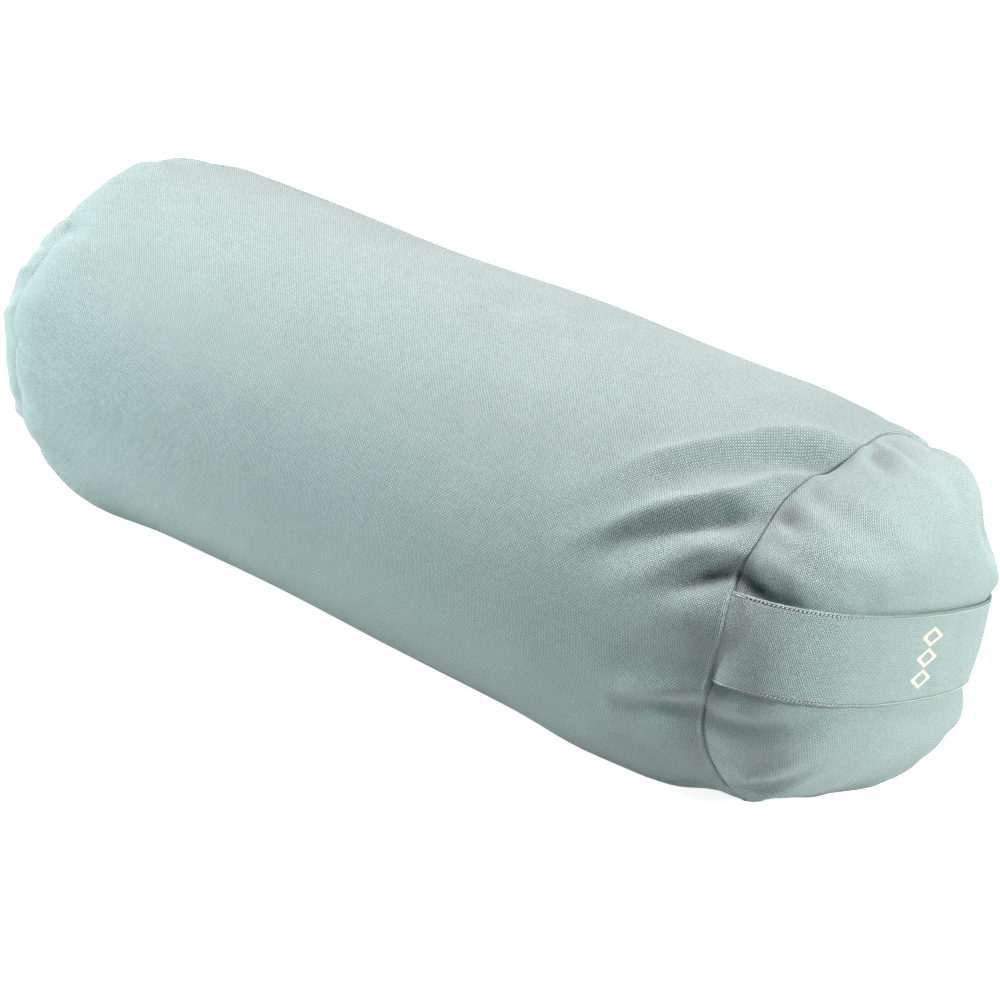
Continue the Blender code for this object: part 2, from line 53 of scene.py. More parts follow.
# The stuffed form, in metres and degrees. Angles run round the bolster's length:
# 0 is the zip side at +Y, 90 the top, 180 the side at -Y and 270 the underside.
form = dict(
    squash=0.945,        # height of the section to its width
    power=2.25,          # of the section's curve: 2 is an ellipse, more is squarer
    press=0.0052,        # how far its weight flattens it underneath
    allowance=0.008,     # cloth turned in behind each seam
    cloth=0.001,
    gap=0.0003,          # between two panels at a seam
    slope=0.90,          # of the tube at its seams, where 1 is upright
    # The tube turns in over its rounding until the seam is inset, and the end panel's
    # peak leans sideways and down
    front=dict(inset=0.0108, rounding=0.071, power=2.6, side=0.004, down=-0.004),
    rear=dict(inset=0.0150, rounding=0.036, power=1.8, side=0.0, down=0.024),
)
halfWidth = 0.110
seamX = round(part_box("cover_tube")[1].x + form["gap"] / 2, 4)
centreZ = halfWidth * form["squash"] - form["press"]
form["front"]["bulge"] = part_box("cover_end_front")[1].x - seamX - form["gap"] / 2
form["rear"]["bulge"] = -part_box("cover_end_rear")[0].x - seamX - form["gap"] / 2


# Small helpers

def pick(piece):
    bpy.ops.object.select_all(action="DESELECT")
    piece.select_set(True)
    bpy.context.view_layer.objects.active = piece


def primitive(add, name, **settings):
    bpy.ops.object.select_all(action="DESELECT")
    add(**settings)
    piece = bpy.context.object
    piece.name = piece.data.name = name
    return piece


def edited(piece, *steps):
    # Runs each step in edit mode, with the whole piece selected
    pick(piece)
    bpy.ops.object.mode_set(mode="EDIT")
    bpy.ops.mesh.select_all(action="SELECT")
    for step in steps:
        step()
    bpy.ops.object.mode_set(mode="OBJECT")


def weld():
    bpy.ops.mesh.remove_doubles(threshold=0.000001)


def faceOut():
    bpy.ops.mesh.normals_make_consistent(inside=False)


def applyPlace(piece):
    pick(piece)
    bpy.ops.object.transform_apply(location=True, rotation=True, scale=True)


def smoothEdges(piece, degrees):
    pick(piece)
    bpy.ops.object.shade_smooth_by_angle(angle=math.radians(degrees))


def thicken(piece, thickness):
    # Gives the cloth its wall, inwards
    wall = piece.modifiers.new("cloth thickness", "SOLIDIFY")
    wall.thickness = thickness
    wall.offset = -1
    pick(piece)
    bpy.ops.object.modifier_apply(modifier=wall.name)


def dress(piece, material):
    piece.data.materials.clear()
    piece.data.materials.append(material)


def eased(value, low, high):
    share = np.clip((value - low) / (high - low), 0.0, 1.0)
    return share * share * (3.0 - 2.0 * share)


def hump(value, centre, width):
    return np.exp(-((value - centre) / width) ** 2)


# The base form: rings of a turned shape, pressed to the bolster's section

def signedPower(value, power):
    return np.sign(value) * np.abs(value) ** power


def endOf(sign):
    return form["front"] if sign > 0 else form["rear"]


def forEnd(x, key):
    return np.where(x > 0, form["front"][key], form["rear"][key])


def drawnIn(x, radius, lastX, lastRadius, rounding):
    # An arc that stops short of upright, so both panels meet in a shallow crease
    start = seamX - rounding
    bend = form["slope"] * np.clip((np.abs(x) - start) / (lastX - start), 0.0, 1.0)
    drop = (1.0 - np.sqrt(1.0 - bend * bend)) / (1.0 - math.sqrt(1.0 - form["slope"] ** 2))
    return radius - (radius - lastRadius) * drop


def coverRadius(x):
    ahead, behind = (
        drawnIn(x, halfWidth, seamX, halfWidth - end["inset"], end["rounding"])
        for end in (form["front"], form["rear"]))
    return np.where(np.asarray(x) > 0, ahead, behind)


def pressed(x, radius, angle):
    # Points on the base form, for arrays of places, radii and angles in degrees
    x, radius, angle = np.broadcast_arrays(x, radius, np.radians(angle))
    bend = 2 / form["power"]
    y = radius * signedPower(np.cos(angle), bend)
    z = form["squash"] * radius * signedPower(np.sin(angle), bend)
    z = np.maximum(z, np.minimum(0.0, coverRadius(x) - radius - centreZ))
    lean = np.maximum(0.0, np.abs(x) - seamX) / forEnd(x, "bulge")
    return np.stack([x, y + forEnd(x, "side") * lean, centreZ + z - forEnd(x, "down") * lean], axis=-1)


def dome(sign, turn, start, bulge, radius):
    # Places and radii of an end: turn is 0 at the seam and a right angle at the peak
    bend = 2 / endOf(sign)["power"]
    x = sign * (start + bulge * np.sin(turn) ** bend)
    return x, radius * np.maximum(np.cos(turn), 0.0) ** bend


def endPoint(sign, turn, angle):
    end = endOf(sign)
    x, radius = dome(sign, turn, seamX + form["gap"] / 2, end["bulge"], halfWidth - end["inset"])
    return pressed(x, radius, angle)


def outwardNormals(rings, centreX=0.0):
    # Unit normals of a ring grid whose last column repeats the first
    along = np.gradient(rings, axis=0)
    around = np.roll(rings[:, :-1], -1, axis=1) - np.roll(rings[:, :-1], 1, axis=1)
    around = np.concatenate([around, around[:, :1]], axis=1)
    normals = np.cross(around, along)
    normals /= np.linalg.norm(normals, axis=-1, keepdims=True) + 1e-12
    outward = rings - np.array([centreX, 0.0, centreZ])
    return normals * np.sign((normals * outward).sum(axis=(0, 1)).sum())


def endNormals(rings, sign):
    # An end's rings go on to its peak, where they have no direction of their own
    normals = outwardNormals(rings, sign * seamX * 0.8)
    normals[-1] = (sign, 0.0, 0.0)
    return normals


# Grids wrapped round into tubes, domes and straps

def marks(piece):
    # The ring and the place in it of each vertex
    found = []
    for name in ("row", "column"):
        values = np.empty(len(piece.data.vertices), np.int32)
        piece.data.attributes[name].data.foreach_get("value", values)
        found.append(values)
    return found


def wrapped(name, rings, uv, marked=False):
    rows, columns = rings.shape[:2]
    grid = bpy.ops.mesh.primitive_grid_add
    piece = primitive(grid, name, x_subdivisions=rows - 1, y_subdivisions=columns - 1, size=2)
    mesh = piece.data
    flat = np.empty(len(mesh.vertices) * 3)
    mesh.vertices.foreach_get("co", flat)
    flat = flat.reshape(-1, 3)
    row = np.rint((flat[:, 0] + 1) / 2 * (rows - 1)).astype(np.int32)
    column = np.rint((flat[:, 1] + 1) / 2 * (columns - 1)).astype(np.int32)
    mesh.vertices.foreach_set("co", rings[row, column].ravel())
    corner = np.empty(len(mesh.loops), np.int32)
    mesh.loops.foreach_get("vertex_index", corner)
    mesh.uv_layers[0].data.foreach_set("uv", uv[row[corner], column[corner]].ravel())
    if marked:
        mesh.attributes.new("row", "INT", "POINT").data.foreach_set("value", row)
        mesh.attributes.new("column", "INT", "POINT").data.foreach_set("value", column)
    mesh.update()
    edited(piece, weld, faceOut)
    return piece


def clothMap(lengths, around):
    # A map in metres of cloth, from the lengths along a grid's rows and columns
    return np.stack(np.broadcast_arrays(lengths[:, None], around[None]), axis=-1)


def ringAngles(sides):
    # Starts and ends at the underside, where the cloth's own join is out of sight
    return np.linspace(-90.0, 270.0, sides + 1)


def lengthsAlong(line):
    steps = np.linalg.norm(np.diff(line, axis=0), axis=1)
    return np.concatenate([[0.0], np.cumsum(steps)])


def spacedTurns(sign, count, ratio):
    # Turns of an end panel from seam to peak, closer together at the seam by that ratio
    fine = np.linspace(0.0, math.pi / 2, 4000)
    lengths = lengthsAlong(endPoint(sign, fine, 0.0))
    share = np.linspace(0.0, 1.0, count + 1)
    share = share / ratio + share * share * (1.0 - 1.0 / ratio)
    return np.interp(share * lengths[-1], lengths, fine)


# Folds and hollows, drawn as lines over the cloth laid flat. A fold is its width, then
# points of place along the cloth, degrees round it, and height. All lengths are in mm.

foldRadius = 0.103    # turns degrees round the tube into metres of cloth
foldStrength = 1.25
foldEdge = 262        # where the loose ones start, just inside each seam

# Round the front seam, with places measured from the bolster's middle
tubeFolds = [
    (9, (145, 147, 0), (178, 131, 1), (202, 116, 2.2), (217, 108, 2.6), (238, 94, 2.8), (250, 89, 3),
     (262, 85, 2.2)),
    (3.5, (160, 138, 0), (178, 129, 0.8), (192, 119, 1.3), (217, 106, 1.8), (228, 98, 1.8),
     (238, 92, 1.8), (250, 88, 1.5), (262, 84, 0.8)),
    (8, (190, 130, 0), (209, 122, -1.4), (228, 112, -2.6), (242, 103, -5), (252, 97, -7), (262, 93, -5.5)),
    (8, (165, 157, 0), (195, 141, 1.6), (218, 131, 3), (232, 126, 3.4), (246, 119, 3.2),
     (254, 109, 2.4), (262, 102, 1)),
    (3.5, (180, 149, 0), (203, 136, 1), (218, 129, 1.7), (231, 124, 2), (246, 117, 2), (253, 107, 1.4),
     (262, 100, 0.8)),
    (7, (170, 158, 0), (193, 149, -1.3), (213, 140, -2.9), (230, 133, -4.3), (245, 126, -4.4),
     (262, 120, -2.4)),
    (8, (190, 162, 0), (208, 156, 1), (229, 146, 2.6), (246, 137, 3), (262, 131, 1.2)),
    (6, (228, 156, 0), (240, 149, -3), (250, 144, -4.4), (262, 139, -2.8)),
    (13, (195, 170, 0), (225, 162, 1.6), (245, 156, 2.4), (262, 152, 1.6)),
    (3, (244, 147, 0), (252, 143, -0.9), (262, 141, -0.9)),
    (12, (195, 176, 0), (225, 174, -1.8), (262, 171, -2)),
    (5, (212, 184, 0), (226, 182, 2.8), (242, 180, 4), (262, 177, 2.4)),
    (7, (206, 191, 0), (224, 189, -3.2), (244, 185, -4.8), (262, 183, -3)),
    (10, (190, 206, 0), (225, 204, -1), (262, 206, -0.8)),
]

# Round the rear seam
rearFolds = [
    (6, (-205, 72, 0), (-235, 73, 1.6), (-261, 74, 1.4)),
    (5, (-215, 80, 0), (-240, 81, -1.4), (-261, 82, -1.4)),
    (6, (-205, 88, 0), (-240, 88, 1.2), (-261, 88, 1.4)),
    (7, (-215, 96, 0), (-245, 95, 1.2), (-261, 94, 1.2)),
    (6, (-200, 122, 0), (-235, 121, -1.6), (-261, 120, -2.2)),
    (7, (-200, 132, 0), (-240, 130, 1.4), (-261, 129, 1.2)),
    (6, (-210, 150, 0), (-240, 151, 1), (-261, 151, 1.2)),
    (5, (-200, 168, 0), (-240, 169, -1.8), (-261, 169, -2.2)),
    (7, (-205, 180, 0), (-240, 180, 1.2), (-261, 180, 1.2)),
    (7, (-200, 196, 0), (-235, 195, 1.4), (-261, 194, 1)),
    (6, (-205, 206, 0), (-235, 206, -1.2), (-261, 206, -1.4)),
]

# On the front end panel, with places measured from its seam
endFolds = [
    (5, (0, 84, -2), (15, 86, -2.8), (36, 91, 0)),
    (5, (0, 77, 1.2), (18, 79, 1.8), (40, 83, 0)),
    (5, (0, 71, -1.6), (18, 74, -2.4), (38, 79, 0)),
    (6, (0, 63, 0.6), (20, 66, 1.4), (42, 70, 0)),
    (5, (0, 52, -1.6), (16, 55, -2), (38, 61, 0)),
    (9, (0, 106, -0.8), (25, 109, -1.2), (50, 112, 0)),
    (5, (0, 117, -2.4), (8, 119, -3.2), (14, 121, -1.6), (22, 123, 0)),
    (6, (4, 111, 0.6), (16, 114, 1.4), (32, 119, 0)),
    (7, (0, 130, 1), (12, 133, 1.8), (30, 136, 0.6)),
    (7, (0, 141, -7), (10, 143, -7.5), (22, 145, -5), (40, 146, 0)),
    (5, (0, 173, -3.4), (12, 174, -3), (30, 175, 0)),
    (7, (58, 128, -1.2), (70, 130, -2), (80, 130, 0)),
    (6, (2, 178, 1.4), (16, 178, 3), (36, 179, 2.4), (56, 181, 0)),
    (7, (0, 185, -3.4), (16, 185, -4.8), (36, 184, -3.8), (60, 184, 0)),
    (8, (0, 208, 0.8), (20, 203, 2.4), (45, 197, 1.6), (70, 194, 0)),
    (6, (0, 213, -1), (25, 208, -1.8), (50, 204, 0)),
    (6, (2, 218, 1), (26, 213, 2), (48, 208, 1.2), (66, 205, 0)),
]

# Swells and hollows of the tube: place, degrees, height, reach along it and round it
tubeLumps = [
    (-55, 56, -1.8, 60, 40), (56, 58, 1.3, 45, 35), (170, 52, -1, 50, 30), (262, 44, 5.6, 22, 22),
    (-60, 226, -1.6, 70, 30), (165, 226, 2.6, 30, 25), (240, 228, -6.5, 18, 28),
    (-205, 224, 2.9, 30, 30), (-238, 62, -2.8, 16, 16), (-248, 122, -4.6, 18, 18),
    (-256, 101, 1.4, 12, 12), (-257, 84, 4.4, 16, 16), (-262, 136, -6, 24, 28),
    (-262, 188, -5.4, 24, 40), (205, 183, -3.5, 45, 32), (0, 150, -0.8, 50, 40), (110, 170, 0.9, 50, 45),
    (-120, 120, 0.8, 60, 50),
]

# The same on the front (1) and the rear (-1) end panel: from the seam, degrees, height, reach
endLumps = {
    1: [
        (30, 50, 3.6, 16), (62, 33, -7, 15), (45, 19, -5.5, 14), (56, 12, -3, 12), (80, 2, 6.5, 14),
        (66, 339, -5.5, 12), (62, 306, 3.8, 18), (55, 274, 3.6, 18), (44, 242, -5, 18),
        (24, 260, -6, 20), (11, 243, -7, 16), (18, 229, -6, 16), (34, 232, -3, 14),
    ],
    -1: [
        (50, 192, -5.5, 24), (46, 160, -2.4, 20), (40, 133, -8, 22), (26, 110, -7, 18), (8, 206, -4, 20),
        (20, 176, -3, 30),
    ],
}

# How far the front seam wanders along the bolster, in mm at each angle
seamWander = [
    (35, -2), (52, -6), (67, -4.5), (80, 1.5), (89, 4), (98, 0.4), (112, -1.4), (122, 0.2), (130, 1),
    (140, -0.6), (150, 1.6), (160, 3), (172, 1.2), (184, -2.4), (197, -1.6), (209, 1.5), (220, 5),
    (236, 4), (262, 0), (320, -1),
]


def wander(x, angle):
    angles, values = np.array(seamWander, float).T
    fine = np.arange(0.0, 360.0, 1.0)
    level = np.interp(fine, angles, values, period=360)
    window = np.hanning(11)
    level = np.convolve(np.tile(level, 3), window / window.sum(), mode="same")[360:720]
    return np.where(x > 0, np.interp(angle, fine, level, period=360) / 1000, 0.0)


def tubeLaid(along, degrees):
    # Where a place lies with the tube's cloth laid flat, in metres
    return along, np.radians(degrees) * foldRadius


def endLaid(reach):
    # The same for an end panel, whose peak is the middle
    def laid(fromSeam, degrees):
        left, turned = reach - fromSeam, np.radians(degrees)
        return left * np.cos(turned), left * np.sin(turned)
    return laid


def foldHeight(laid, along, angle, fold, period=None):
    # Height of one fold in metres, for all places along and angles round the cloth
    width, *points = fold
    path = np.array([laid(place / 1000, degrees) for place, degrees, height in points])
    heights = np.array([point[2] for point in points]) / 1000
    along, around = np.broadcast_arrays(*laid(along, angle))
    if period:
        around = (around - path[0, 1] + period / 2) % period - period / 2 + path[0, 1]
    spots = np.stack([along, around], axis=-1)
    nearest = np.full(around.shape, 9.0)
    height = np.zeros(around.shape)
    for start, stop, low, high in zip(path[:-1], path[1:], heights[:-1], heights[1:]):
        run = stop - start
        share = np.clip(((spots - start) @ run) / (run @ run), 0.0, 1.0)
        away = np.linalg.norm(spots - start - share[..., None] * run, axis=-1)
        height = np.where(away < nearest, low + (high - low) * share, height)
        nearest = np.minimum(nearest, away)
    return foldStrength * height * hump(nearest, 0.0, width / 1000)


# Folds of the same kind as the drawn ones, for the sides that they don't reach. Each value
# is drawn between two, and every other fold is a hollow.
loose = dict(
    place=(0.2, 0.8),         # within a fold's own share of the way round
    tube=dict(reach=(25, 70), skew=(-12, 12), height=(0.8, 2.2), width=(5, 9)),
    end=dict(reach=(22, 50), skewMiddle=(-3, 3), skew=(-6, 6), height=(0.6, 1.8), width=(4, 8)),
)


def looseGathers(sign, low, high, count):
    folds = []
    start, fold = sign * foldEdge, loose["tube"]
    for index in range(count):
        degrees = low + (high - low) * (index + chance.uniform(*loose["place"])) / count
        reach = chance.uniform(*fold["reach"])
        skew = chance.uniform(*fold["skew"])
        height = chance.uniform(*fold["height"]) * (1 if index % 2 else -1)
        folds.append((
            chance.uniform(*fold["width"]),
            (start - sign * reach, degrees + skew, 0.0),
            (start - sign * reach * 0.5, degrees + skew * 0.4, height),
            (start, degrees, height * 0.6),
        ))
    return folds


def looseEndGathers(low, high, count):
    folds = []
    fold = loose["end"]
    for index in range(count):
        degrees = low + (high - low) * (index + chance.uniform(*loose["place"])) / count
        reach = chance.uniform(*fold["reach"])
        height = chance.uniform(*fold["height"]) * (1 if index % 2 else -1)
        folds.append((
            chance.uniform(*fold["width"]),
            (0.0, degrees, height * 0.8),
            (reach * 0.45, degrees + chance.uniform(*fold["skewMiddle"]), height),
            (reach, degrees + chance.uniform(*fold["skew"]), 0.0),
        ))
    return folds


# Gathers from a cloth simulation: the cover as cut, sewn at both seams and blown up

gathers = dict(
    sides=150, tubeRows=96, endRows=15, tubeRadius=0.111, endRadius=0.109, cutLonger=1.02, frames=24,
    pressure=5.0, stretch=22, bending=0.35, unevenness=0.0002,
    longest=(4.8, 11.2), shortest=(23.8, 34),    # waves kept, as folds round the whole tube
    lengthwise=2.0,                   # rows over which they are smoothed
    depth=0.0007, around=8,           # spread of heights after scaling, over so many rows by the seam
    tubeFade=(0.110, 0.012), tubeLeft=0.12,
    endRise=(0.0, 0.006), endFade=(0.050, 0.090), endLeft=0.1,
)


def simulateGathers():
    angles = ringAngles(gathers["sides"])
    rearTurns = spacedTurns(-1, gathers["endRows"], 1.0)[::-1]
    frontTurns = spacedTurns(1, gathers["endRows"], 1.0)
    stations = np.linspace(-seamX, seamX, gathers["tubeRows"] + 1)[1:-1]
    rear = endPoint(-1, rearTurns[:, None], angles[None])
    front = endPoint(1, frontTurns[:, None], angles[None])
    tube = pressed(stations[:, None], coverRadius(stations)[:, None], angles[None])
    base = np.concatenate([rear, tube, front])
    seamRows = [len(rear) - 1, len(rear) + len(tube)]

    # The cut cloth: a plain tube and two flat discs, which the springs pull towards
    turned = np.radians(angles)
    end, longer = seamX * gathers["cutLonger"], gathers["cutLonger"]
    shares = np.linspace(1.0, 0.0, len(frontTurns))
    cut = [(-end, gathers["endRadius"] * np.interp(turn, frontTurns, shares)) for turn in rearTurns]
    cut += [(x * longer, gathers["tubeRadius"]) for x in stations]
    cut += [(end, gathers["endRadius"] * share) for share in shares]
    flat = np.array([
        np.stack([np.full_like(turned, x), r * np.cos(turned), r * np.sin(turned) + centreZ], -1)
        for x, r in cut
    ])

    piece = wrapped("gatherTrial", base, np.zeros(base.shape[:2] + (2,)), marked=True)
    row, column = marks(piece)
    start = base[row, column]
    start = start + chance.normal(0.0, gathers["unevenness"], start.shape)
    piece.shape_key_add(name="Basis").data.foreach_set("co", start.ravel())
    key = piece.shape_key_add(name="cut")
    key.data.foreach_set("co", flat[row, column].ravel())
    sewn = piece.vertex_groups.new(name="sewn")
    for seamRow in seamRows:
        sewn.add([int(i) for i in np.nonzero(row == seamRow)[0]], 1.0, "REPLACE")

    cloth = piece.modifiers.new("cloth", "CLOTH")
    springs = cloth.settings
    springs.quality = 5
    springs.mass = 0.25
    springs.tension_stiffness = gathers["stretch"]
    springs.compression_stiffness = gathers["stretch"]
    springs.shear_stiffness = 4
    springs.bending_stiffness = gathers["bending"]
    springs.air_damping = 3
    springs.use_pressure = True
    springs.uniform_pressure_force = gathers["pressure"]
    springs.rest_shape_key = key
    springs.vertex_group_mass = "sewn"
    springs.effector_weights.gravity = 0
    cloth.collision_settings.use_collision = False
    cloth.collision_settings.use_self_collision = False
    cloth.point_cache.frame_start = 1
    cloth.point_cache.frame_end = gathers["frames"]
    for frameNumber in range(1, gathers["frames"] + 1):
        bpy.context.scene.frame_set(frameNumber)
    evaluated = piece.evaluated_get(bpy.context.evaluated_depsgraph_get())
    blown = np.empty(len(piece.data.vertices) * 3)
    evaluated.to_mesh().vertices.foreach_get("co", blown)
    blown = blown.reshape(-1, 3)
    bpy.context.scene.frame_set(1)
    bpy.data.objects.remove(piece)

    # Only the gathers are kept: the offset along the normal, without its slow swell
    offset = ((blown - base[row, column]) * outwardNormals(base)[row, column]).sum(axis=1)
    heights = np.zeros(base.shape[:2])
    heights[row, column % gathers["sides"]] = offset
    heights[0] = heights[-1] = 0.0
    waves = np.fft.rfft(heights[:, :-1], axis=1)
    order = np.arange(waves.shape[1])
    keep = eased(order, *gathers["longest"]) * (1.0 - eased(order, *gathers["shortest"]))
    heights[:, :-1] = np.fft.irfft(waves * keep, n=gathers["sides"], axis=1)
    heights[:, -1] = heights[:, 0]
    nearby = hump(np.arange(-6, 7), 0, gathers["lengthwise"] * math.sqrt(2))
    for index in range(heights.shape[1]):
        heights[:, index] = np.convolve(heights[:, index], nearby / nearby.sum(), mode="same")
    near = heights[seamRows[1] - gathers["around"]:seamRows[1] + gathers["around"]]
    print("gathers: simulated, depth before scaling", round(float(near.std()) * 1000, 2), "mm")
    heights *= gathers["depth"] / near.std()
    return dict(
        angles=angles, rear=(rearTurns, heights[:len(rear)]), front=(frontTurns, heights[-len(front):]),
        tube=(stations, heights[len(rear):-len(front)]),
    )


def sampled(part, places, angles):
    # Reads the simulated heights at other stations and angles
    stations, heights = made[part]
    around = np.stack([np.interp(angles, made["angles"], row) for row in heights])
    order = np.argsort(stations)
    columns = [np.interp(places, stations[order], around[order, c]) for c in range(len(angles))]
    return np.stack(columns, axis=1)


made = simulateGathers()


# How far the cloth of the tube and of each end stands off the base form

tubeExtra = looseGathers(1, -100, 58, 15) + looseGathers(1, 214, 258, 4)
tubeExtra += rearFolds + looseGathers(-1, -140, 64, 18)
panelFolds = {1: endFolds + looseEndGathers(-120, 20, 11), -1: looseEndGathers(-90, 270, 34)}

cover = dict(
    sides=300, middleStep=0.0056, frontSteps=44, rearSteps=34, endSteps=62, endRatio=5.0, allowanceSteps=4,
    ridge=0.0008, ridgeFromSeam=0.0010, ridgeWidth=0.0009,       # the tube's turned edge beside each seam
    joinReach=0.004, wanderReach=0.022, tubeWanderReach=0.030,    # how far the seam's shift goes on
    lip=0.0006, grain=35.0,
)
zipSlot = dict(
    half=0.170, hem=0.0006, margin=0.0008, open=0.0054, edge=2.30, fold=2.12, depth=0.0011,
    calmRound=(9.0, 17.0), calmAlong=(0.184, 0.210),              # no folds beside the zip
)
strap = dict(
    tilt=21.0, lift=-0.001, width=0.048, thickness=0.0027, runs=180,
    farthest=0.120,                                              # from its middle, beyond both seams
    groove=0.0009, grooveWidth=0.0005, grooveRows=(-0.0009, 0.0004),    # under a row of stitches
    dent=0.0050, rimDent=0.0042, dentPast=0.0065, dentBlur=0.0036, dentRise=0.8,
    hollowsLeft=0.5,                                             # share of the panel's own, under it
    wave=0.0004, waveAlong=240, waveAcross=60, waveSwell=50, waveReach=0.1,
    swells=[(0.0022, 0.050, 0.016), (0.0036, -0.047, 0.015)],    # beside it: height, place, width
)
stitch = dict(
    inset=0.0015, pitch=0.0021, shown=0.70, thread=0.0003, sunk=0.0003, start=0.002, slant=0.00034,
    unevenness=0.00004, rise=(-0.0004, 0.0001, 0.00025, 0.0001, -0.0004),
)


def strapAcross(points):
    # Place across the strap's width, for points on the end panel before it leans
    end = form["front"]
    tilt = math.radians(strap["tilt"])
    lean = np.maximum(0.0, points[..., 0] - seamX) / end["bulge"]
    y, z = points[..., 1] - end["side"] * lean, points[..., 2] - centreZ + end["down"] * lean
    return y * math.sin(tilt) + z * math.cos(tilt) - strap["lift"]


def strapDent(turn, across):
    # The strap presses its own width in, and the stuffing swells beside it
    rise = np.sin(np.clip(turn, 0.0, math.pi / 2)) ** strap["dentRise"]
    depth = strap["rimDent"] + (strap["dent"] - strap["rimDent"]) * rise
    past = np.abs(across) - strap["width"] / 2 - strap["dentPast"]
    under = 1.0 / (1.0 + np.exp(past / strap["dentBlur"]))
    swell = sum(height * hump(across, place, width) for height, place, width in strap["swells"])
    return swell * rise - depth * under, under


def tubeHeight(x, angle):
    # x and angle are a column and a row, and the result is their whole grid
    height = np.zeros(np.broadcast(x, angle).shape)
    if made:
        far, near = gathers["tubeFade"]
        fade = eased(np.abs(x), seamX - far, seamX - near) + gathers["tubeLeft"]
        height += sampled("tube", x[:, 0], angle[0]) * fade
    for fold in tubeFolds + tubeExtra:
        height += foldHeight(tubeLaid, x, angle, fold, period=2 * math.pi * foldRadius)
    for along, degrees, rise, long, wide in tubeLumps:
        across = np.radians((angle - degrees + 180.0) % 360.0 - 180.0) * foldRadius
        height += rise / 1000 * hump(x, along / 1000, long / 1000) * hump(across, 0.0, wide / 1000)
    height += cover["ridge"] * hump(seamX - np.abs(x), cover["ridgeFromSeam"], cover["ridgeWidth"])
    side = (angle + 180.0) % 360.0 - 180.0
    aroundZip = 1.0 - eased(np.abs(side), *zipSlot["calmRound"])
    aroundZip = aroundZip * (1.0 - eased(np.abs(x), *zipSlot["calmAlong"]))
    return height * (1.0 - aroundZip)


def endHeight(sign, turn, angle, fromSeam, laid):
    height = np.zeros(np.broadcast(turn, angle).shape)
    if made:
        fade = eased(fromSeam, *gathers["endRise"]) * (1.0 - eased(fromSeam, *gathers["endFade"]))
        fade = fade + gathers["endLeft"]
        height += sampled("front" if sign > 0 else "rear", turn[:, 0], angle[0]) * fade
    for fold in panelFolds[sign]:
        height += foldHeight(laid, fromSeam, angle, fold)
    sideways, upwards = laid(fromSeam, angle)
    for into, degrees, rise, wide in endLumps[sign]:
        y, z = laid(into / 1000, degrees)
        height += rise / 1000 * hump(np.hypot(sideways - y, upwards - z), 0.0, wide / 1000)
    return height


# Both panels meet at the seam: the end panel starts from the shift of the tube's edge
seamShift = {}


def jointShift(sign, angle):
    angles, edge = seamShift[sign]
    return np.stack([np.interp(angle, angles, edge[:, axis], period=360) for axis in range(3)], axis=-1)


def shiftFromSeam(sign, angle, fromSeam):
    near = hump(fromSeam, 0.0, cover["joinReach"])
    shift = jointShift(sign, angle) * near[..., None]
    shift[..., 0] += wander(sign, angle) * hump(fromSeam, 0.0, cover["wanderReach"]) * (1.0 - near)
    return shift, near


def turnedIn(x, sign, angles, shift):
    # Rings of the seam allowance, from the seam inwards, which keep the seam's shift
    inward = np.linspace(0.0, form["allowance"], cover["allowanceSteps"] + 1)[1:]
    seamRadius = halfWidth - endOf(sign)["inset"]
    return np.stack([pressed(x, seamRadius - step, angles) + shift for step in inward]), inward


def settled(points):
    # Nothing goes below the floor
    points[..., 2] = np.maximum(points[..., 2], 0.0)
    return points


def coverAngles():
    # Columns at the slot's edges follow the slot
    angles = ringAngles(cover["sides"])
    middle = int(np.argmin(np.abs(angles)))
    for side in (-1, 1):
        angles[middle + side] = side * zipSlot["fold"]
        angles[middle + side * 2] = side * zipSlot["edge"]
    return angles, middle


def tubeStations():
    starts, rounded = [], []
    for end, steps in ((form["rear"], cover["rearSteps"]), (form["front"], cover["frontSteps"])):
        start = seamX - end["rounding"]
        turns = np.linspace(0.0, math.pi / 2, steps + 1)
        starts.append(start)
        rounded.append(start + (seamX - form["gap"] / 2 - start) * np.sin(turns))
    behind, ahead = starts
    count = int((ahead + behind) / cover["middleStep"])
    middle = np.linspace(-behind, ahead, count + 1)[1:-1]
    for side in (-1, 1):
        for level in (zipSlot["half"], zipSlot["half"] - zipSlot["hem"]):
            middle[np.argmin(np.abs(middle - side * level))] = side * level
    return np.concatenate([-rounded[0][::-1], middle, rounded[1]])


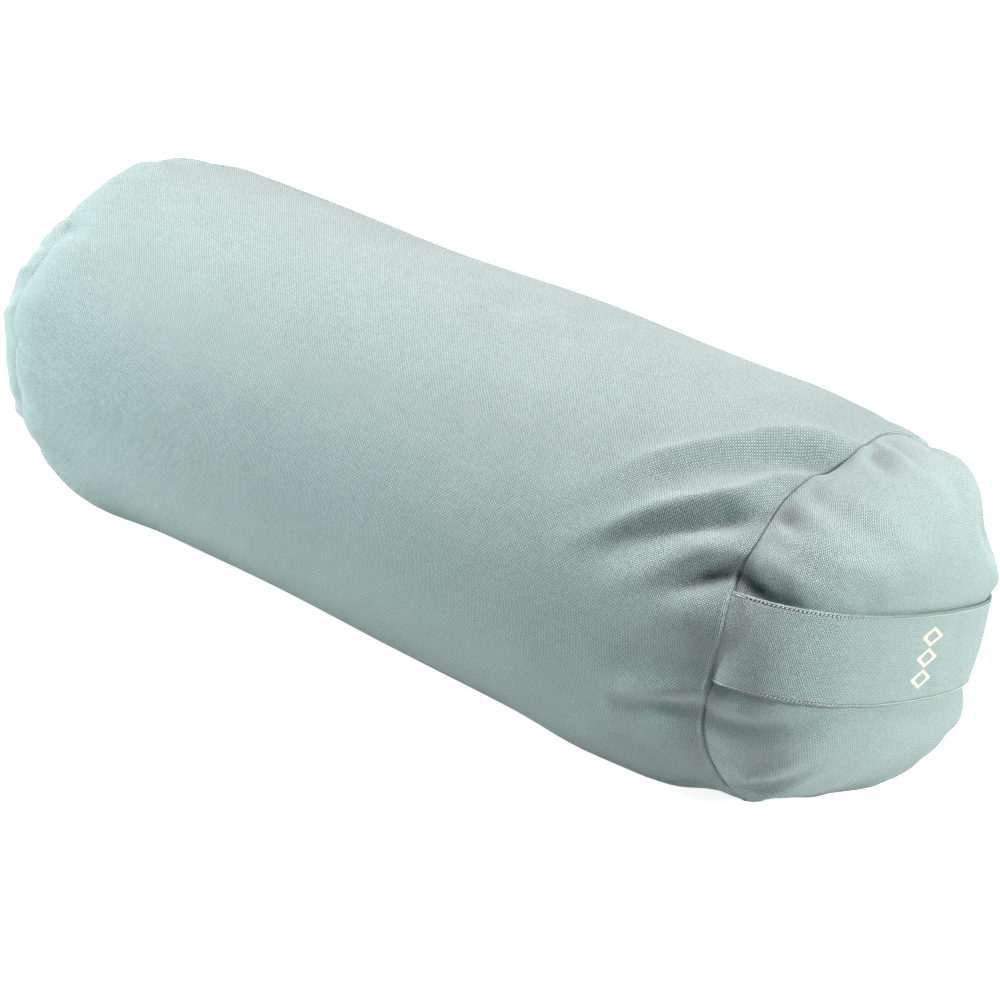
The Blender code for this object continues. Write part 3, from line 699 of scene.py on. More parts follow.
def makeTube():
    angles, zipColumn = coverAngles()
    x = tubeStations()
    base = pressed(x[:, None], coverRadius(x)[:, None], angles[None])
    shift = tubeHeight(x[:, None], angles[None])[..., None] * outwardNormals(base)
    nearSeam = hump(seamX - np.abs(x), 0.0, cover["tubeWanderReach"])
    shift[..., 0] += wander(x[:, None], angles[None]) * nearSeam[:, None]
    seamShift[-1] = (angles, shift[0])
    seamShift[1] = (angles, shift[-1])
    rearTurned = turnedIn(x[0], -1, angles, shift[0])[0][::-1]
    frontTurned = turnedIn(x[-1], 1, angles, shift[-1])[0]
    rings = settled(np.concatenate([rearTurned, base + shift, frontTurned]))

    # The slot's edges are turned in
    first, last = (int(np.argmin(np.abs(x - side * zipSlot["half"]))) for side in (-1, 1))
    low, high = x[first] + zipSlot["margin"], x[last] - zipSlot["margin"]
    inside = slice(first + len(rearTurned) + 1, last + len(rearTurned))
    rings[inside, zipColumn - 1:zipColumn + 2, 1] -= zipSlot["depth"]
    threadsRound = lengthsAlong(pressed(0.0, halfWidth, angles))
    piece = wrapped("coverTube", rings, clothMap(lengthsAlong(rings[:, cover["sides"] // 2]), threadsRound))

    pick(piece)
    bpy.ops.object.mode_set(mode="EDIT")
    bpy.ops.mesh.select_all(action="DESELECT")
    bpy.ops.object.mode_set(mode="OBJECT")
    for face in piece.data.polygons:
        centre = face.center
        beside = abs(centre.z - centreZ) < zipSlot["open"] and centre.y > 0
        face.select = bool(beside and low < centre.x < high)
    bpy.ops.object.mode_set(mode="EDIT")
    bpy.ops.mesh.delete(type="FACE")
    bpy.ops.object.mode_set(mode="OBJECT")
    thicken(piece, form["cloth"])
    smoothEdges(piece, 50)
    return piece


def makeEnd(name, sign):
    angles = ringAngles(cover["sides"])
    turn = spacedTurns(sign, cover["endSteps"], cover["endRatio"])
    base = endPoint(sign, turn[:, None], angles[None])
    lengths = lengthsAlong(endPoint(sign, turn, 180.0))
    fromSeam = lengths[:, None] + 0.0 * angles
    height = endHeight(sign, turn[:, None], angles[None], lengths[:, None], endLaid(lengths[-1]))
    shift, near = shiftFromSeam(sign, np.broadcast_to(angles, fromSeam.shape), fromSeam)
    height = height * (1.0 - near)
    if sign > 0:
        dent, under = strapDent(turn[:, None], strapAcross(base))
        hollows = np.minimum(height, 0.0) * under * strap["hollowsLeft"]
        height = height * (1.0 - under) + hollows + dent
    # The tube's folded edge stands a little proud of the end panel
    height -= cover["lip"] * hump(lengths[:, None], 0.0, cover["ridgeWidth"])
    height[-1] = height[-1].mean()
    shift += height[..., None] * endNormals(base, sign)

    turned, inward = turnedIn(sign * (seamX + form["gap"] / 2), sign, angles, shift[0])
    rings = settled(np.concatenate([turned[::-1], base + shift]))
    # The threads of a flat disc, laid by the true length round the section
    left = np.concatenate([lengths[-1] + inward[::-1], lengths[-1] - lengths])
    bend = 2 / form["power"]
    sideways, upwards = (signedPower(part(np.radians(angles)), bend) for part in (np.cos, np.sin))
    way = np.arctan2(upwards, sideways) + math.radians(cover["grain"])
    uv = np.stack([left[:, None] * np.cos(way), left[:, None] * np.sin(way)], axis=-1)
    piece = wrapped(name, rings, uv)
    thicken(piece, form["cloth"])
    smoothEdges(piece, 50)
    return piece


print("cover: tube panel")
coverTube = makeTube()
print("cover: end panels")
coverFront = makeEnd("coverEndFront", 1)
coverRear = makeEnd("coverEndRear", -1)


# The carry handle: a folded strip that lies over the front end, with its stitches

fineTurns = np.linspace(0.0, math.pi / 2, 2000)
frontLengths = (fineTurns, lengthsAlong(endPoint(1, fineTurns, 180.0)))


def strapTurned(run, across):
    # Sideways and upwards from the end panel's middle, for places along and across the strap
    tilt = math.radians(strap["tilt"])
    level = across + strap["lift"]
    return run * math.cos(tilt) + level * math.sin(tilt), level * math.cos(tilt) - run * math.sin(tilt)


def sectionSum(y, rise):
    return np.abs(y) ** form["power"] + np.abs(rise) ** form["power"]


def strapSurface(run, across, height):
    # Points at a height over the front end's dented cloth, where the strap lies
    end = form["front"]
    run, across, height = np.broadcast_arrays(run, across, height)
    y, z = strapTurned(run, across)
    rise = z / form["squash"]
    radius = sectionSum(y, rise) ** (1 / form["power"])
    turn = np.arccos(np.clip(radius / (halfWidth - end["inset"]), 0.0, 1.0) ** (end["power"] / 2))
    angle = np.degrees(np.arctan2(signedPower(rise, form["power"] / 2), signedPower(y, form["power"] / 2)))
    step, least = 0.005, 0.02    # turns apart, for the surface's direction
    around = endPoint(1, turn, angle + math.degrees(step)) - endPoint(1, turn, angle - math.degrees(step))
    inwards = endPoint(1, np.maximum(turn - step, 0.0), angle)
    inwards = inwards - endPoint(1, np.maximum(turn + step, least), angle)
    outwards = np.cross(around, inwards)
    outwards /= np.linalg.norm(outwards, axis=-1, keepdims=True) + 1e-12
    outwards *= np.sign(outwards[..., :1] + 1e-9)
    shift = shiftFromSeam(1, angle, np.interp(turn, *frontLengths))[0]
    return endPoint(1, turn, angle) + shift + (strapDent(turn, across)[0] + height)[..., None] * outwards


def strapReach(across):
    # Where the strap meets the seam at each end, for each place across its width
    limit = (halfWidth - form["front"]["inset"]) ** form["power"]
    reach = []
    for sign in (-1, 1):
        low, high = np.zeros(across.shape), np.full(across.shape, strap["farthest"])
        for attempt in range(40):
            run = (low + high) / 2
            y, z = strapTurned(sign * run, across)
            inside = sectionSum(y, z / form["squash"]) < limit
            low, high = np.where(inside, run, low), np.where(inside, high, run)
        reach.append(sign * low)
    return reach


def strapRun(near, far, share):
    # Places along the strap, closest together where it starts and ends
    bend = (1.0 - np.cos(math.pi * share)) / 2
    return (near + far) / 2 - (far - near) / 2 * np.cos(math.pi * bend)


def strapSection():
    # Across and height of the strap's section: flat top, round folded edges, flat back
    half, thick = strap["width"] / 2, strap["thickness"]
    groove = half - stitch["inset"]
    flat = half - thick / 2
    rows = np.linspace(*strap["grooveRows"], 5)
    grooves = [side * groove + rows * side for side in (-1, 1)]
    top = np.unique(np.concatenate([np.linspace(-flat, flat, 25), *grooves]))
    sunk = hump(top, groove, strap["grooveWidth"]) + hump(top, -groove, strap["grooveWidth"])
    height = thick - strap["groove"] * sunk
    bend = np.radians(np.linspace(90, -90, 7)[1:-1])
    edge = flat + thick / 2 * np.cos(bend)
    edgeHeight = thick / 2 + thick / 2 * np.sin(bend)
    back = np.linspace(flat, -flat, 13)
    across = np.concatenate([top, edge, back, -edge[::-1], top[:1]])
    heights = np.concatenate([height, edgeHeight, np.zeros(len(back)), edgeHeight[::-1], height[:1]])
    return across, heights


def strapWave(run, across):
    # Slight waves along the strap, as a worn handle has, that end before the seam
    ripple = strap["wave"] * np.sin(run * strap["waveAlong"] + across * strap["waveAcross"])
    ripple = ripple * np.sin(run * strap["waveSwell"] + 1) ** 2
    return ripple * np.maximum(1 - (run / strap["waveReach"]) ** 4, 0)


def closeEnds():
    bpy.ops.mesh.select_all(action="DESELECT")
    bpy.ops.mesh.select_non_manifold(extend=False)
    bpy.ops.mesh.edge_face_add()
    bpy.ops.mesh.select_all(action="SELECT")


def makeStrap():
    across, heights = strapSection()
    near, far = strapReach(across)
    run = strapRun(near, far, np.linspace(0.0, 1.0, strap["runs"] + 1)[:, None])
    rings = strapSurface(run, across, form["gap"] + heights + strapWave(run, across))
    around = lengthsAlong(np.stack([across, heights], axis=-1))
    piece = wrapped("carryStrap", rings, clothMap(lengthsAlong(rings[:, len(across) // 4]), around))
    edited(piece, closeEnds, faceOut)
    smoothEdges(piece, 40)
    return piece


def threads(name, lines, radius):
    # Lengths of thread, each along its own line of points
    curve = bpy.data.curves.new(name, "CURVE")
    curve.dimensions = "3D"
    curve.bevel_depth = radius
    curve.bevel_resolution = 1
    curve.use_fill_caps = True
    for line in lines:
        spline = curve.splines.new("POLY")
        spline.points.add(len(line) - 1)
        for point, spot in zip(spline.points, line):
            point.co = (*spot, 1.0)
    piece = bpy.data.objects.new(name, curve)
    bpy.context.collection.objects.link(piece)
    pick(piece)
    bpy.ops.object.convert(target="MESH")
    piece = bpy.context.object
    piece.name = piece.data.name = name
    edited(piece, weld)
    smoothEdges(piece, 60)
    return piece


def strapStitches(name, side):
    across = side * (strap["width"] / 2 - stitch["inset"])
    near, far = (values[0] for values in strapReach(np.array([across])))
    share = np.linspace(0.0, 1.0, 2000)
    lengths = lengthsAlong(strapSurface(strapRun(near, far, share), across, strap["thickness"]))
    rise = np.array(stitch["rise"])
    slant = np.linspace(-stitch["slant"], stitch["slant"], len(rise))
    lines = []
    for index in range(int((lengths[-1] - 2 * stitch["start"]) / stitch["pitch"])):
        start = stitch["start"] + index * stitch["pitch"]
        along = start + np.linspace(0.0, stitch["pitch"] * stitch["shown"], len(rise))
        runs = strapRun(near, far, np.interp(along, lengths, share))
        askew = slant + chance.normal(0, stitch["unevenness"])
        height = form["gap"] + strap["thickness"] - stitch["sunk"] + rise + strapWave(runs, across)
        lines.append(strapSurface(runs, across + askew, height))
    return threads(name, lines, stitch["thread"])


motif = dict(
    run=-0.008, rows=(0.0112, 0.0, -0.0112), halfHeight=0.0053, halfWidth=0.0100, line=0.0019,
    pitch=0.00042, thread=0.00026, unevenness=0.00003, crown=0.0002, sunk=0.0001,
    open=1.3,            # a part that is longer than so many lines is open in its middle
    shortest=0.0004,     # stitch
)


def makeMotif():
    # Three lozenges in outline, one over the other, in satin stitch
    crown = motif["crown"] * np.sqrt(1 - np.linspace(-1, 1, 5) ** 2)
    lines = []
    for row in motif["rows"]:
        for step in np.arange(-motif["halfWidth"], motif["halfWidth"], motif["pitch"]):
            half = motif["halfHeight"] * (1.0 - abs(step) / motif["halfWidth"])
            spans = [(-half, half)]
            if half > motif["line"] * motif["open"]:
                spans = [(-half, motif["line"] - half), (half - motif["line"], half)]
            for low, high in spans if half > motif["shortest"] else []:
                across = np.linspace(row + low, row + high, 5)
                run = motif["run"] + step + chance.normal(0, motif["unevenness"])
                height = form["gap"] + strap["thickness"] + crown - motif["sunk"]
                lines.append(strapSurface(run, across, height + strapWave(run, across)))
    return threads("strapMotif", lines, motif["thread"])


print("carry handle")
carryStrap = makeStrap()
stitchUpper = strapStitches("strapStitchUpper", 1)
stitchLower = strapStitches("strapStitchLower", -1)
strapMotif = makeMotif()


# The pillow inside: a cotton case of three panels, and its kapok

pillow = dict(
    seam=0.2585, seamRadius={1: 0.0851, -1: 0.0819}, cloth=0.0005, filling=0.0013, wider=0.0003,
    sides=200, tubeRows=84, endRows=30, endRatio=3.0, gathers=46, gatherDepth=0.0007,
    endReach=0.020, tubeReach=0.022, underStrap=0.0006, girth=0.68,
)


def pillowRings(inset):
    # Rings from the rear peak to the front peak, and the rows of its two seams
    angles = ringAngles(pillow["sides"])
    low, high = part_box("inner_case_tube")
    bow = pillow["gatherDepth"] * (0.5 + 0.5 * np.sin(np.radians(angles) * pillow["gathers"]))
    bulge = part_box("inner_case_end_front")[1].x - pillow["seam"] - inset
    along = pillow["seam"] * np.sin(np.linspace(-math.pi / 2, math.pi / 2, pillow["tubeRows"] + 1)[1:-1])
    ends, radii = {}, {}
    for sign in (-1, 1):
        seamRadius = pillow["seamRadius"][sign] - inset
        radii[sign] = drawnIn(along, pillow["wider"] - low.y - inset, pillow["seam"], seamRadius,
                              endOf(sign)["rounding"])
        turn = spacedTurns(sign, pillow["endRows"], pillow["endRatio"])
        x, radius = dome(sign, turn, pillow["seam"], bulge, seamRadius)
        rings = pressed(x[:, None], radius[:, None], angles[None])
        height = -bow * hump(lengthsAlong(rings[:, 0]), 0.0, pillow["endReach"])[:, None]
        if sign > 0:
            dent = strapDent(turn[:, None], strapAcross(rings))[0]
            height = height + np.minimum(dent, 0.0) - pillow["underStrap"]
        height[-1] = height[-1].mean()
        ends[sign] = rings + height[..., None] * endNormals(rings, sign)
    rings = pressed(along[:, None], np.where(along > 0, radii[1], radii[-1])[:, None], angles[None])
    height = np.minimum(tubeHeight(along[:, None] * seamX / pillow["seam"], angles[None]), 0.0)
    height -= bow * hump(pillow["seam"] - np.abs(along), 0.0, pillow["tubeReach"])[:, None]
    rings = rings + height[..., None] * outwardNormals(rings)
    rings[..., 1] = np.minimum(rings[..., 1], high.y - inset)
    rings = np.concatenate([ends[-1][::-1], rings, ends[1]])
    rings[..., 2] = np.maximum(rings[..., 2], low.z + inset)
    return rings, len(ends[-1]) - 1, len(rings) - len(ends[1])


def pillowPiece(name, rings, walled=True):
    around = np.linspace(0.0, pillow["girth"], pillow["sides"] + 1)
    piece = wrapped(name, rings, clothMap(lengthsAlong(rings[:, pillow["sides"] // 2]), around))
    if walled:
        thicken(piece, pillow["cloth"])
    smoothEdges(piece, 50)
    return piece


print("pillow: case and kapok")
caseRings, rearRow, frontRow = pillowRings(0.0)
caseTube = pillowPiece("caseTube", caseRings[rearRow:frontRow + 1])
caseFront = pillowPiece("caseEndFront", caseRings[frontRow:])
caseRear = pillowPiece("caseEndRear", caseRings[:rearRow + 1])
kapok = pillowPiece("kapokFilling", pillowRings(pillow["filling"])[0], walled=False)


# The zip: interlocking teeth, stitches and bar tacks, and the overlocked edges inside

teeth = dict(
    pitch=0.005, wide=0.0030, reach=0.0031, height=0.0022, past=0.0016, bevel=0.0004,
    neck=0.55, head=0.35, flare=(-0.1, 0.35),    # widths, and where along its reach it widens
    first={1: 0.25, -1: 0.75}, closer=0.992,     # of a pitch
    spine=0.0007, spineInset=0.0009,
)
zipStitch = dict(
    pitch=0.0032, shown=0.82, thread=0.0003, start=0.0004, unevenness=0.00005,
    rise=(-0.0003, 0.00012, 0.00025, 0.00012, -0.0003),
)
tack = dict(
    threads=20, thread=0.0003, margin=0.0004, slant=0.0002, rise=(-0.0002, 0.0003, 0.0004, 0.0003, -0.0002),
)
overlock = dict(loops=240, bite=0.003, thread=0.00035, clear=0.0004, deeper=0.0003, outside=0.0006)


def makeTooth(side):
    tooth = primitive(bpy.ops.mesh.primitive_cube_add, "tooth", size=1)
    tooth.dimensions = (teeth["wide"], teeth["height"], teeth["reach"])
    applyPlace(tooth)
    edited(tooth, lambda: bpy.ops.mesh.bevel(offset=teeth["bevel"], segments=1))
    # The head is wider than the neck, as a moulded tooth's is
    for vertex in tooth.data.vertices:
        head = eased(-vertex.co.z * side / teeth["reach"], *teeth["flare"])
        vertex.co.x *= teeth["neck"] + teeth["head"] * float(head)
    return tooth


def makeTeeth(name, node, side):
    # side is 1 for the upper tape's teeth, whose heads reach down past the middle
    low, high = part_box(node)
    middleY = (low.y + high.y) / 2
    edge, back = (low.z, high.z) if side > 0 else (high.z, low.z)
    row = [makeTooth(side)]
    for index in range(int((high.x - low.x) / teeth["pitch"])):
        row.append(row[0].copy())
        row[-1].data = row[0].data.copy()
        bpy.context.collection.objects.link(row[-1])
    for index, tooth in enumerate(row):
        x = low.x + (index + teeth["first"][side]) * teeth["pitch"] * teeth["closer"]
        tooth.location = (x, middleY, edge + side * (teeth["reach"] / 2 - teeth["past"]))
    cylinder = bpy.ops.mesh.primitive_cylinder_add
    spine = primitive(cylinder, "spine", vertices=8, radius=teeth["spine"], depth=high.x - low.x)
    spine.rotation_euler = (0, math.pi / 2, 0)
    spine.location = ((low.x + high.x) / 2, middleY, back - side * teeth["spineInset"])
    pick(row[0])
    for piece in row + [spine]:
        piece.select_set(True)
    bpy.ops.object.join()
    piece = row[0]
    applyPlace(piece)
    piece.name = piece.data.name = name
    smoothEdges(piece, 35)
    return piece


def zipSurface(x, z, rise):
    # On the cover's cloth beside the zip, raised by so much
    upwards = signedPower((z - centreZ) / form["squash"], form["power"] / 2)
    line = pressed(x, halfWidth, np.degrees(np.arctan2(upwards, halfWidth ** (form["power"] / 2))))
    line[:, 1] += np.array(rise)
    return line


def zipStitches(name, node):
    low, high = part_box(node)
    pitch = zipStitch["pitch"]
    lines = []
    for start in np.arange(low.x + zipStitch["start"], high.x - pitch, pitch):
        x = start + np.linspace(0.0, pitch * zipStitch["shown"], 5)
        z = (low.z + high.z) / 2 + chance.normal(0, zipStitch["unevenness"]) + np.zeros(5)
        lines.append(zipSurface(x, z, zipStitch["rise"]))
    return threads(name, lines, zipStitch["thread"])


def barTack(name, node):
    low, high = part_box(node)
    lines = []
    for index, z in enumerate(np.linspace(low.z + tack["margin"], high.z - tack["margin"], tack["threads"])):
        slant = np.linspace(-tack["slant"], tack["slant"], 5) * (1 if index % 2 else -1)
        lines.append(zipSurface(np.linspace(low.x, high.x, 5), z + slant, tack["rise"]))
    return threads(name, lines, tack["thread"])


def overlockLoops(name, sign):
    # One thread wound round the two raw edges inside the seam
    tip = halfWidth - endOf(sign)["inset"] - form["allowance"]
    half = form["cloth"] + form["gap"] / 2 + overlock["clear"]
    bite = overlock["bite"]
    loop = [(-half, 0.0), (-half, bite), (0.0, bite + overlock["deeper"])]
    loop += [(half, bite), (half, 0.0), (0.0, -overlock["outside"])]
    across, inwards = np.tile(loop, (overlock["loops"], 1)).T
    angle = -90.0 + 360.0 * np.arange(len(across)) / len(across)
    line = pressed(sign * seamX + across, tip + inwards, angle) + jointShift(sign, angle)
    return threads(name, [line], overlock["thread"])


print("zip and overlocking")
teethUpper = makeTeeth("zipTeethUpper", "zip_teeth_upper", 1)
teethLower = makeTeeth("zipTeethLower", "zip_teeth_lower", -1)
zipStitchUpper = zipStitches("zipStitchUpper", "zip_stitch_upper")
zipStitchLower = zipStitches("zipStitchLower", "zip_stitch_lower")
tackFront = barTack("zipBarTackFront", "zip_bar_tack_front")
tackRear = barTack("zipBarTackRear", "zip_bar_tack_rear")
overlockFront = overlockLoops("overlockFront", 1)
overlockRear = overlockLoops("overlockRear", -1)


print("materials")


def feed(tree, node, inputs):
    # An input gets a number, a colour or another node's output
    for name, value in inputs.items():
        if isinstance(value, bpy.types.NodeSocket):
            tree.links.new(value, node.inputs[name])
        else:
            node.inputs[name].default_value = value


def added(tree, kind, inputs, operation=None):
    node = tree.nodes.new("ShaderNode" + kind)
    if operation:
        node.operation = operation
    feed(tree, node, inputs)
    return node.outputs


class Sheet:
    # A material's node sheet, with short calls for the nodes that are used here again and again
    def __init__(self, name):
        self.material = bpy.data.materials.new(name)
        self.material.use_nodes = True
        self.tree = self.material.node_tree

    def math(self, operation, *values):
        return added(self.tree, "Math", dict(enumerate(values)), operation)[0]

    def place(self, kind, scale=(1, 1, 1)):
        spots = added(self.tree, "TexCoord", {})[kind]
        return added(self.tree, "Mapping", dict(Vector=spots, Scale=scale))[0]

    def noise(self, place, scale, detail=2.0, rough=0.5):
        inputs = dict(Vector=place, Scale=scale, Detail=detail, Roughness=rough)
        return added(self.tree, "TexNoise", inputs)["Fac"]

    def between(self, share, low, high):
        return added(self.tree, "MapRange", {"Value": share, "To Min": low, "To Max": high})[0]

    def mix(self, share, first, second):
        node = self.tree.nodes.new("ShaderNodeMix")
        node.data_type = "RGBA"
        feed(self.tree, node, {"Factor": share, 6: first, 7: second})
        return node.outputs[2]

    def bump(self, height, depth, strength=1.0, **below):
        return added(self.tree, "Bump", dict(Height=height, Distance=depth, Strength=strength, **below))[0]

    def finish(self, colour, roughness, normal, **others):
        sockets = {"Base Color": colour, "Roughness": roughness, "Normal": normal}
        sockets.update((name.replace("_", " "), value) for name, value in others.items())
        feed(self.tree, self.tree.nodes["Principled BSDF"], sockets)
        return self.material


def tone(red, green, blue):
    # A screen colour, 0 to 255, as Blender's linear colour
    parts = []
    for part in (red / 255, green / 255, blue / 255):
        parts.append(part / 12.92 if part <= 0.04045 else ((part + 0.055) / 1.055) ** 2.4)
    return (*parts, 1.0)


weave = dict(
    over=0.4,            # how much higher a thread stands where it passes over
    weftHeight=0.58,     # of the warp's, so that its crossings show as rows of dots
    drift=2.2, driftScale=0.06,                       # threads aren't quite straight
    # The thread height's share darkens the colour between the threads as painted shade; speck, slub and
    # mottle are the threads' own tone
    height=1.30, speck=0.12, slub=0.18, mottle=0.12,    # shares of the shade
    middle=0.52, darker=0.82,                           # the shade's level, less so much of its contrast
    speckRise=0.20, slubRise=0.2, slubsPerMetre=30, mottleScale=22,
)


def canvas(name, light, dark, pitch, contrast=1.0, sheen=0.2, depth=0.0015):
    # Plain weave on the cloth's own map: warp and weft pass over each other in turn. Its colour darkens
    # between the threads, where they lie low, as painted shade.
    sheet = Sheet(name)
    tree = sheet.tree
    place = sheet.place("UV", (1 / pitch, 1 / pitch, 1))
    drift = added(tree, "TexNoise", dict(Vector=place, Scale=weave["driftScale"], Detail=4, Roughness=0.62))
    drift = {0: drift["Color"], 1: (weave["drift"], weave["drift"], 0), 2: place}
    drifted = added(tree, "VectorMath", drift, "MULTIPLY_ADD")[0]
    apart = added(tree, "SeparateXYZ", {0: drifted})
    waves = [sheet.math("SINE", sheet.math("MULTIPLY", apart[axis], math.pi)) for axis in (0, 1)]
    threadHeights = []
    for own, other, over in ((waves[0], waves[1], weave["over"]), (waves[1], waves[0], -weave["over"])):
        passing = sheet.math("MULTIPLY", sheet.math("SIGN", own), other)
        level = sheet.math("MULTIPLY_ADD", passing, over, 1.0 - weave["over"])
        threadHeights.append(sheet.math("MULTIPLY", sheet.math("ABSOLUTE", own), level))
    warp, weft = threadHeights
    height = sheet.math("MAXIMUM", warp, sheet.math("MULTIPLY", weft, weave["weftHeight"]))

    # Single crossings and whole threads are a little thicker, lighter or darker than their neighbours
    node = tree.nodes.new("ShaderNodeTexWhiteNoise")
    node.noise_dimensions = "2D"
    feed(tree, node, dict(Vector=added(tree, "VectorMath", {0: drifted}, "FLOOR")[0]))
    speck = node.outputs["Value"]
    warpSlub = sheet.noise(sheet.place("UV", (1 / pitch, weave["slubsPerMetre"], 1)), 1.0, 1.0)
    weftSlub = sheet.noise(sheet.place("UV", (weave["slubsPerMetre"], 1 / pitch, 1)), 1.0, 1.0)
    onTop = sheet.math("GREATER_THAN", warp, weft)
    slub = sheet.math("ADD", sheet.math("MULTIPLY", warpSlub, onTop),
                      sheet.math("MULTIPLY", weftSlub, sheet.math("SUBTRACT", 1.0, onTop)))
    mottle = sheet.noise(sheet.place("Object"), weave["mottleScale"], 3.0, 0.55)
    # The colour goes towards dark where the threads lie low: painted shade between the threads, with their
    # own speck, slub and mottle on top
    shade = weave["middle"] - weave["darker"] * contrast
    for part, share in ((height, weave["height"] * contrast), (speck, weave["speck"] * contrast),
                        (slub, weave["slub"] * contrast), (mottle, weave["mottle"])):
        shade = sheet.math("MULTIPLY_ADD", part, share, shade)
    raised = sheet.math("MULTIPLY_ADD", speck, weave["speckRise"], height)
    normal = sheet.bump(sheet.math("MULTIPLY_ADD", slub, weave["slubRise"], raised), depth)
    return sheet.finish(sheet.mix(shade, dark, light), 0.88, normal,
                        Sheen_Weight=sheen, Sheen_Roughness=0.45, Specular_IOR_Level=0.25)


def threadFinish(name, light, dark, twist=900):
    # Twisted sewing thread
    sheet = Sheet(name)
    place = sheet.place("Object")
    strand = sheet.noise(place, twist, 1.0)
    tint = sheet.math("MULTIPLY", sheet.noise(place, 60, 2.0), 0.4)
    colour = sheet.mix(sheet.math("MULTIPLY_ADD", strand, 0.6, tint), dark, light)
    return sheet.finish(colour, 0.7, sheet.bump(strand, 0.0001, 0.6),
                        Sheen_Weight=0.2, Sheen_Roughness=0.4, Specular_IOR_Level=0.35)


def fibres(name, light, dark):
    # Loose kapok: soft tufts with fine fibres across them
    sheet = Sheet(name)
    tufts = sheet.noise(sheet.place("Object"), 55, 4.0, 0.65)
    strands = sheet.noise(sheet.place("Object", (1, 1, 5)), 500, 3.0, 0.6)
    share = sheet.math("MULTIPLY_ADD", strands, 0.5, sheet.math("MULTIPLY", tufts, 0.5))
    normal = sheet.bump(tufts, 0.003, 0.8, Normal=sheet.bump(strands, 0.0005, 0.6))
    return sheet.finish(sheet.mix(share, dark, light), 0.95, normal, Sheen_Weight=0.4, Sheen_Roughness=0.5)


def moulded(name, light, dark, roughness):
    # Moulded plastic: a slight orange peel and a faint flow variation
    sheet = Sheet(name)
    peel = sheet.noise(sheet.place("Object"), 2600, 2.0)
    colour = sheet.mix(sheet.noise(sheet.place("Object"), 120, 2.0), dark, light)
    rough = sheet.between(peel, roughness - 0.08, roughness + 0.12)
    return sheet.finish(colour, rough, sheet.bump(peel, 0.00004, 0.5), Specular_IOR_Level=0.5)


def metal(name, light, dark):
    # Plated die-cast metal, worn a little duller where it is rubbed
    sheet = Sheet(name)
    brushed = sheet.noise(sheet.place("Object", (1, 1, 12)), 900, 2.0)
    worn = sheet.noise(sheet.place("Object"), 350, 3.0)
    rough = sheet.between(worn, 0.22, 0.42)
    return sheet.finish(sheet.mix(worn, dark, light), rough, sheet.bump(brushed, 0.00003, 0.5), Metallic=1.0)


# The dark end shows between the threads as painted shade, and in darker threads as their own tone. contrast
# sets how strongly both show on each panel.
sage, darkSageAndGapShade = tone(220, 242, 239), tone(66, 110, 108)
coverCanvas = canvas("coverCanvas", sage, darkSageAndGapShade, 0.00094, contrast=1.15)
endCanvas = canvas("endCanvas", sage, darkSageAndGapShade, 0.00088, contrast=0.8, depth=0.0012)
strapCanvas = canvas("strapCanvas", tone(217, 239, 236), darkSageAndGapShade, 0.00084, contrast=0.9, depth=0.0011)
liningCotton = canvas("liningCotton", tone(240, 236, 226), tone(206, 200, 188), 0.00045,
                      sheen=0.1, depth=0.0002)
zipTape = canvas("zipTape", tone(186, 204, 202), tone(120, 144, 142), 0.0004, sheen=0.15, depth=0.0001)
topstitch = threadFinish("topstitchThread", tone(206, 216, 207), tone(166, 180, 173))
creamThread = threadFinish("creamThread", tone(222, 216, 205), tone(198, 190, 175))
overlockThread = threadFinish("overlockThread", tone(226, 224, 216), tone(188, 188, 180))
kapokFibre = fibres("kapokFibre", tone(236, 228, 206), tone(196, 184, 156))
zipPlastic = moulded("zipPlastic", tone(150, 174, 172), tone(132, 156, 154), 0.38)
zipMetal = metal("zipMetal", tone(168, 170, 173), tone(124, 127, 130))


# What each piece is made of and stands for; the cover's own pieces also ride on its body

for piece, material, slotName, node in (
    (coverTube, coverCanvas, "canvas", "cover_tube"),
    (coverFront, endCanvas, "canvas", "cover_end_front"),
    (coverRear, endCanvas, "canvas", "cover_end_rear"),
    (caseTube, liningCotton, "lining_cotton", "inner_case_tube"),
    (caseFront, liningCotton, "lining_cotton", "inner_case_end_front"),
    (caseRear, liningCotton, "lining_cotton", "inner_case_end_rear"),
    (kapok, kapokFibre, "kapok_fibre", "filling"),
    (teethUpper, zipPlastic, "zip_teeth", "zip_teeth_upper"),
    (teethLower, zipPlastic, "zip_teeth", "zip_teeth_lower"),
    (zipStitchUpper, topstitch, "topstitch_thread", "zip_stitch_upper"),
    (zipStitchLower, topstitch, "topstitch_thread", "zip_stitch_lower"),
    (tackFront, topstitch, "topstitch_thread", "zip_bar_tack_front"),
    (tackRear, topstitch, "topstitch_thread", "zip_bar_tack_rear"),
    (overlockFront, overlockThread, "overlock_thread", "front_seam_overlock"),
    (overlockRear, overlockThread, "overlock_thread", "rear_seam_overlock"),
):
    dress(piece, material)
    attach(piece, "cover")
    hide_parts(node)

for piece, material, slotName, nodes in (
    (carryStrap, strapCanvas, "strap_canvas", ["carry_handle"]),
    (stitchUpper, topstitch, "topstitch_thread", ["handle_stitch_upper"]),
    (stitchLower, topstitch, "topstitch_thread", ["handle_stitch_lower"]),
    (strapMotif, creamThread, "topstitch_thread", []),
):
    dress(piece, material)
    if nodes:
        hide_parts(*nodes)
    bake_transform(piece)

for name, material in (
    ("zip_tape_upper", zipTape), ("zip_tape_lower", zipTape),
    ("zip_top_stop_upper", zipMetal), ("zip_top_stop_lower", zipMetal), ("zip_bottom_stop", zipMetal),
    ("zip_slider", zipMetal), ("zip_pull_tab", zipMetal),
):
    dress(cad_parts[name], material)


# Camera, lights and floor

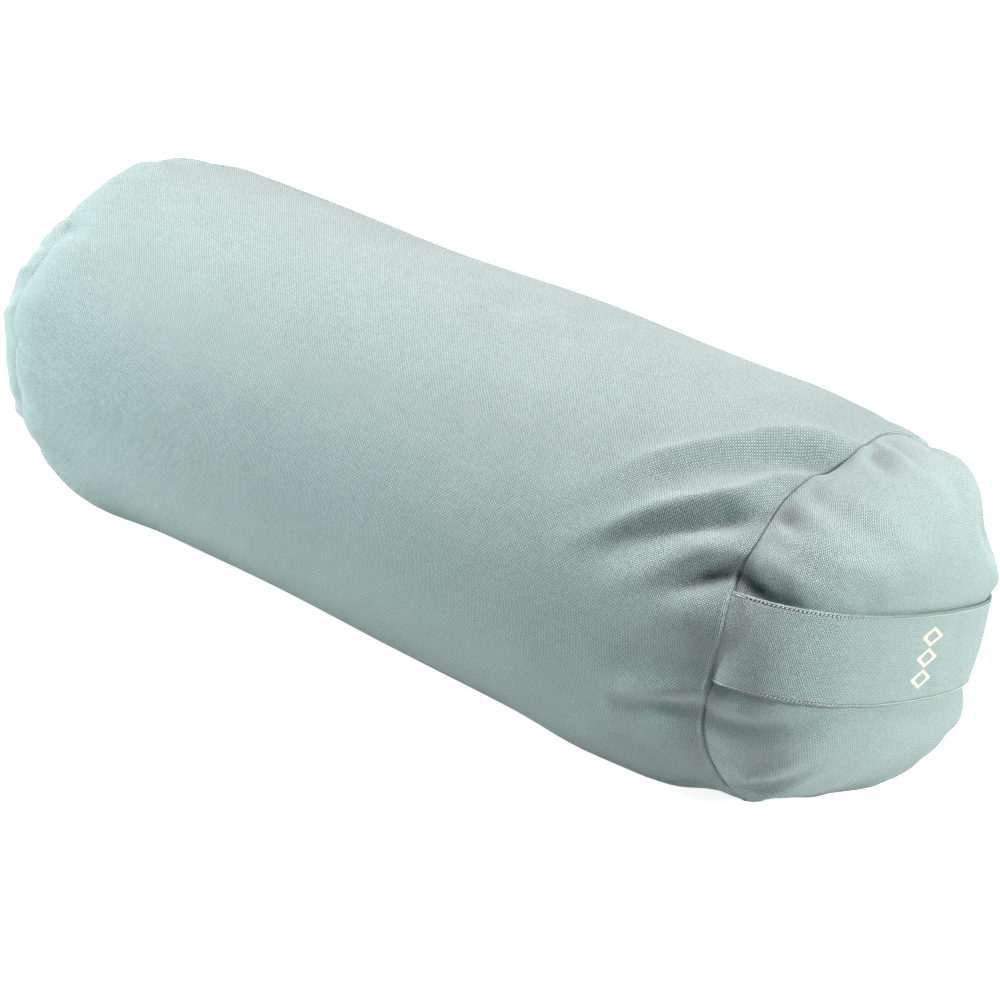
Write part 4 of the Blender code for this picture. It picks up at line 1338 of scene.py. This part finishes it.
view = dict(look=(0.041, 0.0, 0.084), azimuth=-0.842, elevation=0.523, roll=-0.002, away=1.506, lens=97.6)
lamps = dict(
    overhead=dict(place=(0.06, 0.2, 1.4), size=0.8, power=34.5, colour=(1.0, 0.86, 0.87)),
    left=dict(place=(-1.09, -0.51, 0.45), size=0.3, power=24.5, colour=(0.885, 0.99, 0.985)),
    right=dict(place=(1.16, 0.31, 0.44), size=0.3, power=12.6, colour=(0.96, 1.0, 0.97)),
)
studio = dict(
    floor=-0.0004, size=30.0, fill=0.03, fillColour=(0.80, 1.0, 0.98, 1), lampsAim=(0, 0, 0.1),
    floorGlow=(0.88, 0.88, 0.88, 1), floorTone=(0.80, 0.80, 0.80, 1),
)


def makeCamera():
    flat = math.cos(view["elevation"])
    back = (flat * math.cos(view["azimuth"]), flat * math.sin(view["azimuth"]), math.sin(view["elevation"]))
    back = Vector(back)
    bpy.ops.object.camera_add(location=Vector(view["look"]) + back * view["away"])
    camera = bpy.context.object
    camera.name = "photoCamera"
    camera.rotation_euler = back.to_track_quat("Z", "Y").to_euler()
    camera.rotation_euler.rotate_axis("Z", view["roll"])
    camera.data.lens = view["lens"]
    camera.data.clip_end = 20
    bpy.context.scene.camera = camera


def makeLamps():
    for name, lamp in lamps.items():
        spot = Vector(lamp["place"])
        bpy.ops.object.light_add(type="AREA", location=spot)
        light = bpy.context.object
        light.name = name + "Lamp"
        light.rotation_euler = (spot - Vector(studio["lampsAim"])).to_track_quat("Z", "Y").to_euler()
        light.data.size = lamp["size"]
        light.data.energy = lamp["power"]
        light.data.color = lamp["colour"]
        light.visible_camera = False


def whiteForCamera(tree):
    # 1 where the camera, a mirror reflection or a clear material looks, else 0
    rays = added(tree, "LightPath", {})
    seen = rays["Is Camera Ray"]
    for other in ("Is Glossy Ray", "Is Transmission Ray"):
        seen = added(tree, "Math", {0: seen, 1: rays[other]}, "MAXIMUM")[0]
    return seen


def makeStudio():
    world = bpy.data.worlds.new("studio")
    bpy.context.scene.world = world
    world.use_nodes = True
    tree = world.node_tree
    background = tree.nodes["Background"]
    feed(tree, background, dict(Color=studio["fillColour"], Strength=studio["fill"]))
    white = added(tree, "Background", dict(Color=(1, 1, 1, 1), Strength=1.0))
    shown = added(tree, "MixShader", {0: whiteForCamera(tree), 1: background.outputs[0], 2: white[0]})
    feed(tree, tree.nodes["World Output"], dict(Surface=shown[0]))

    plane = bpy.ops.mesh.primitive_plane_add
    floor = primitive(plane, "studioFloor", size=studio["size"], location=(0, 0, studio["floor"]))
    applyPlace(floor)
    material = bpy.data.materials.new("studioFloor")
    material.use_nodes = True
    tree = material.node_tree
    tree.nodes.remove(tree.nodes["Principled BSDF"])
    diffuse = added(tree, "BsdfDiffuse", dict(Color=studio["floorTone"]))
    glow = added(tree, "Emission", dict(Color=studio["floorGlow"], Strength=whiteForCamera(tree)))
    both = added(tree, "AddShader", {0: diffuse[0], 1: glow[0]})
    feed(tree, tree.nodes["Material Output"], dict(Surface=both[0]))
    dress(floor, material)


print("camera, lights and floor")
makeCamera()
makeLamps()
makeStudio()
bpy.context.scene.view_settings.view_transform = "Standard"
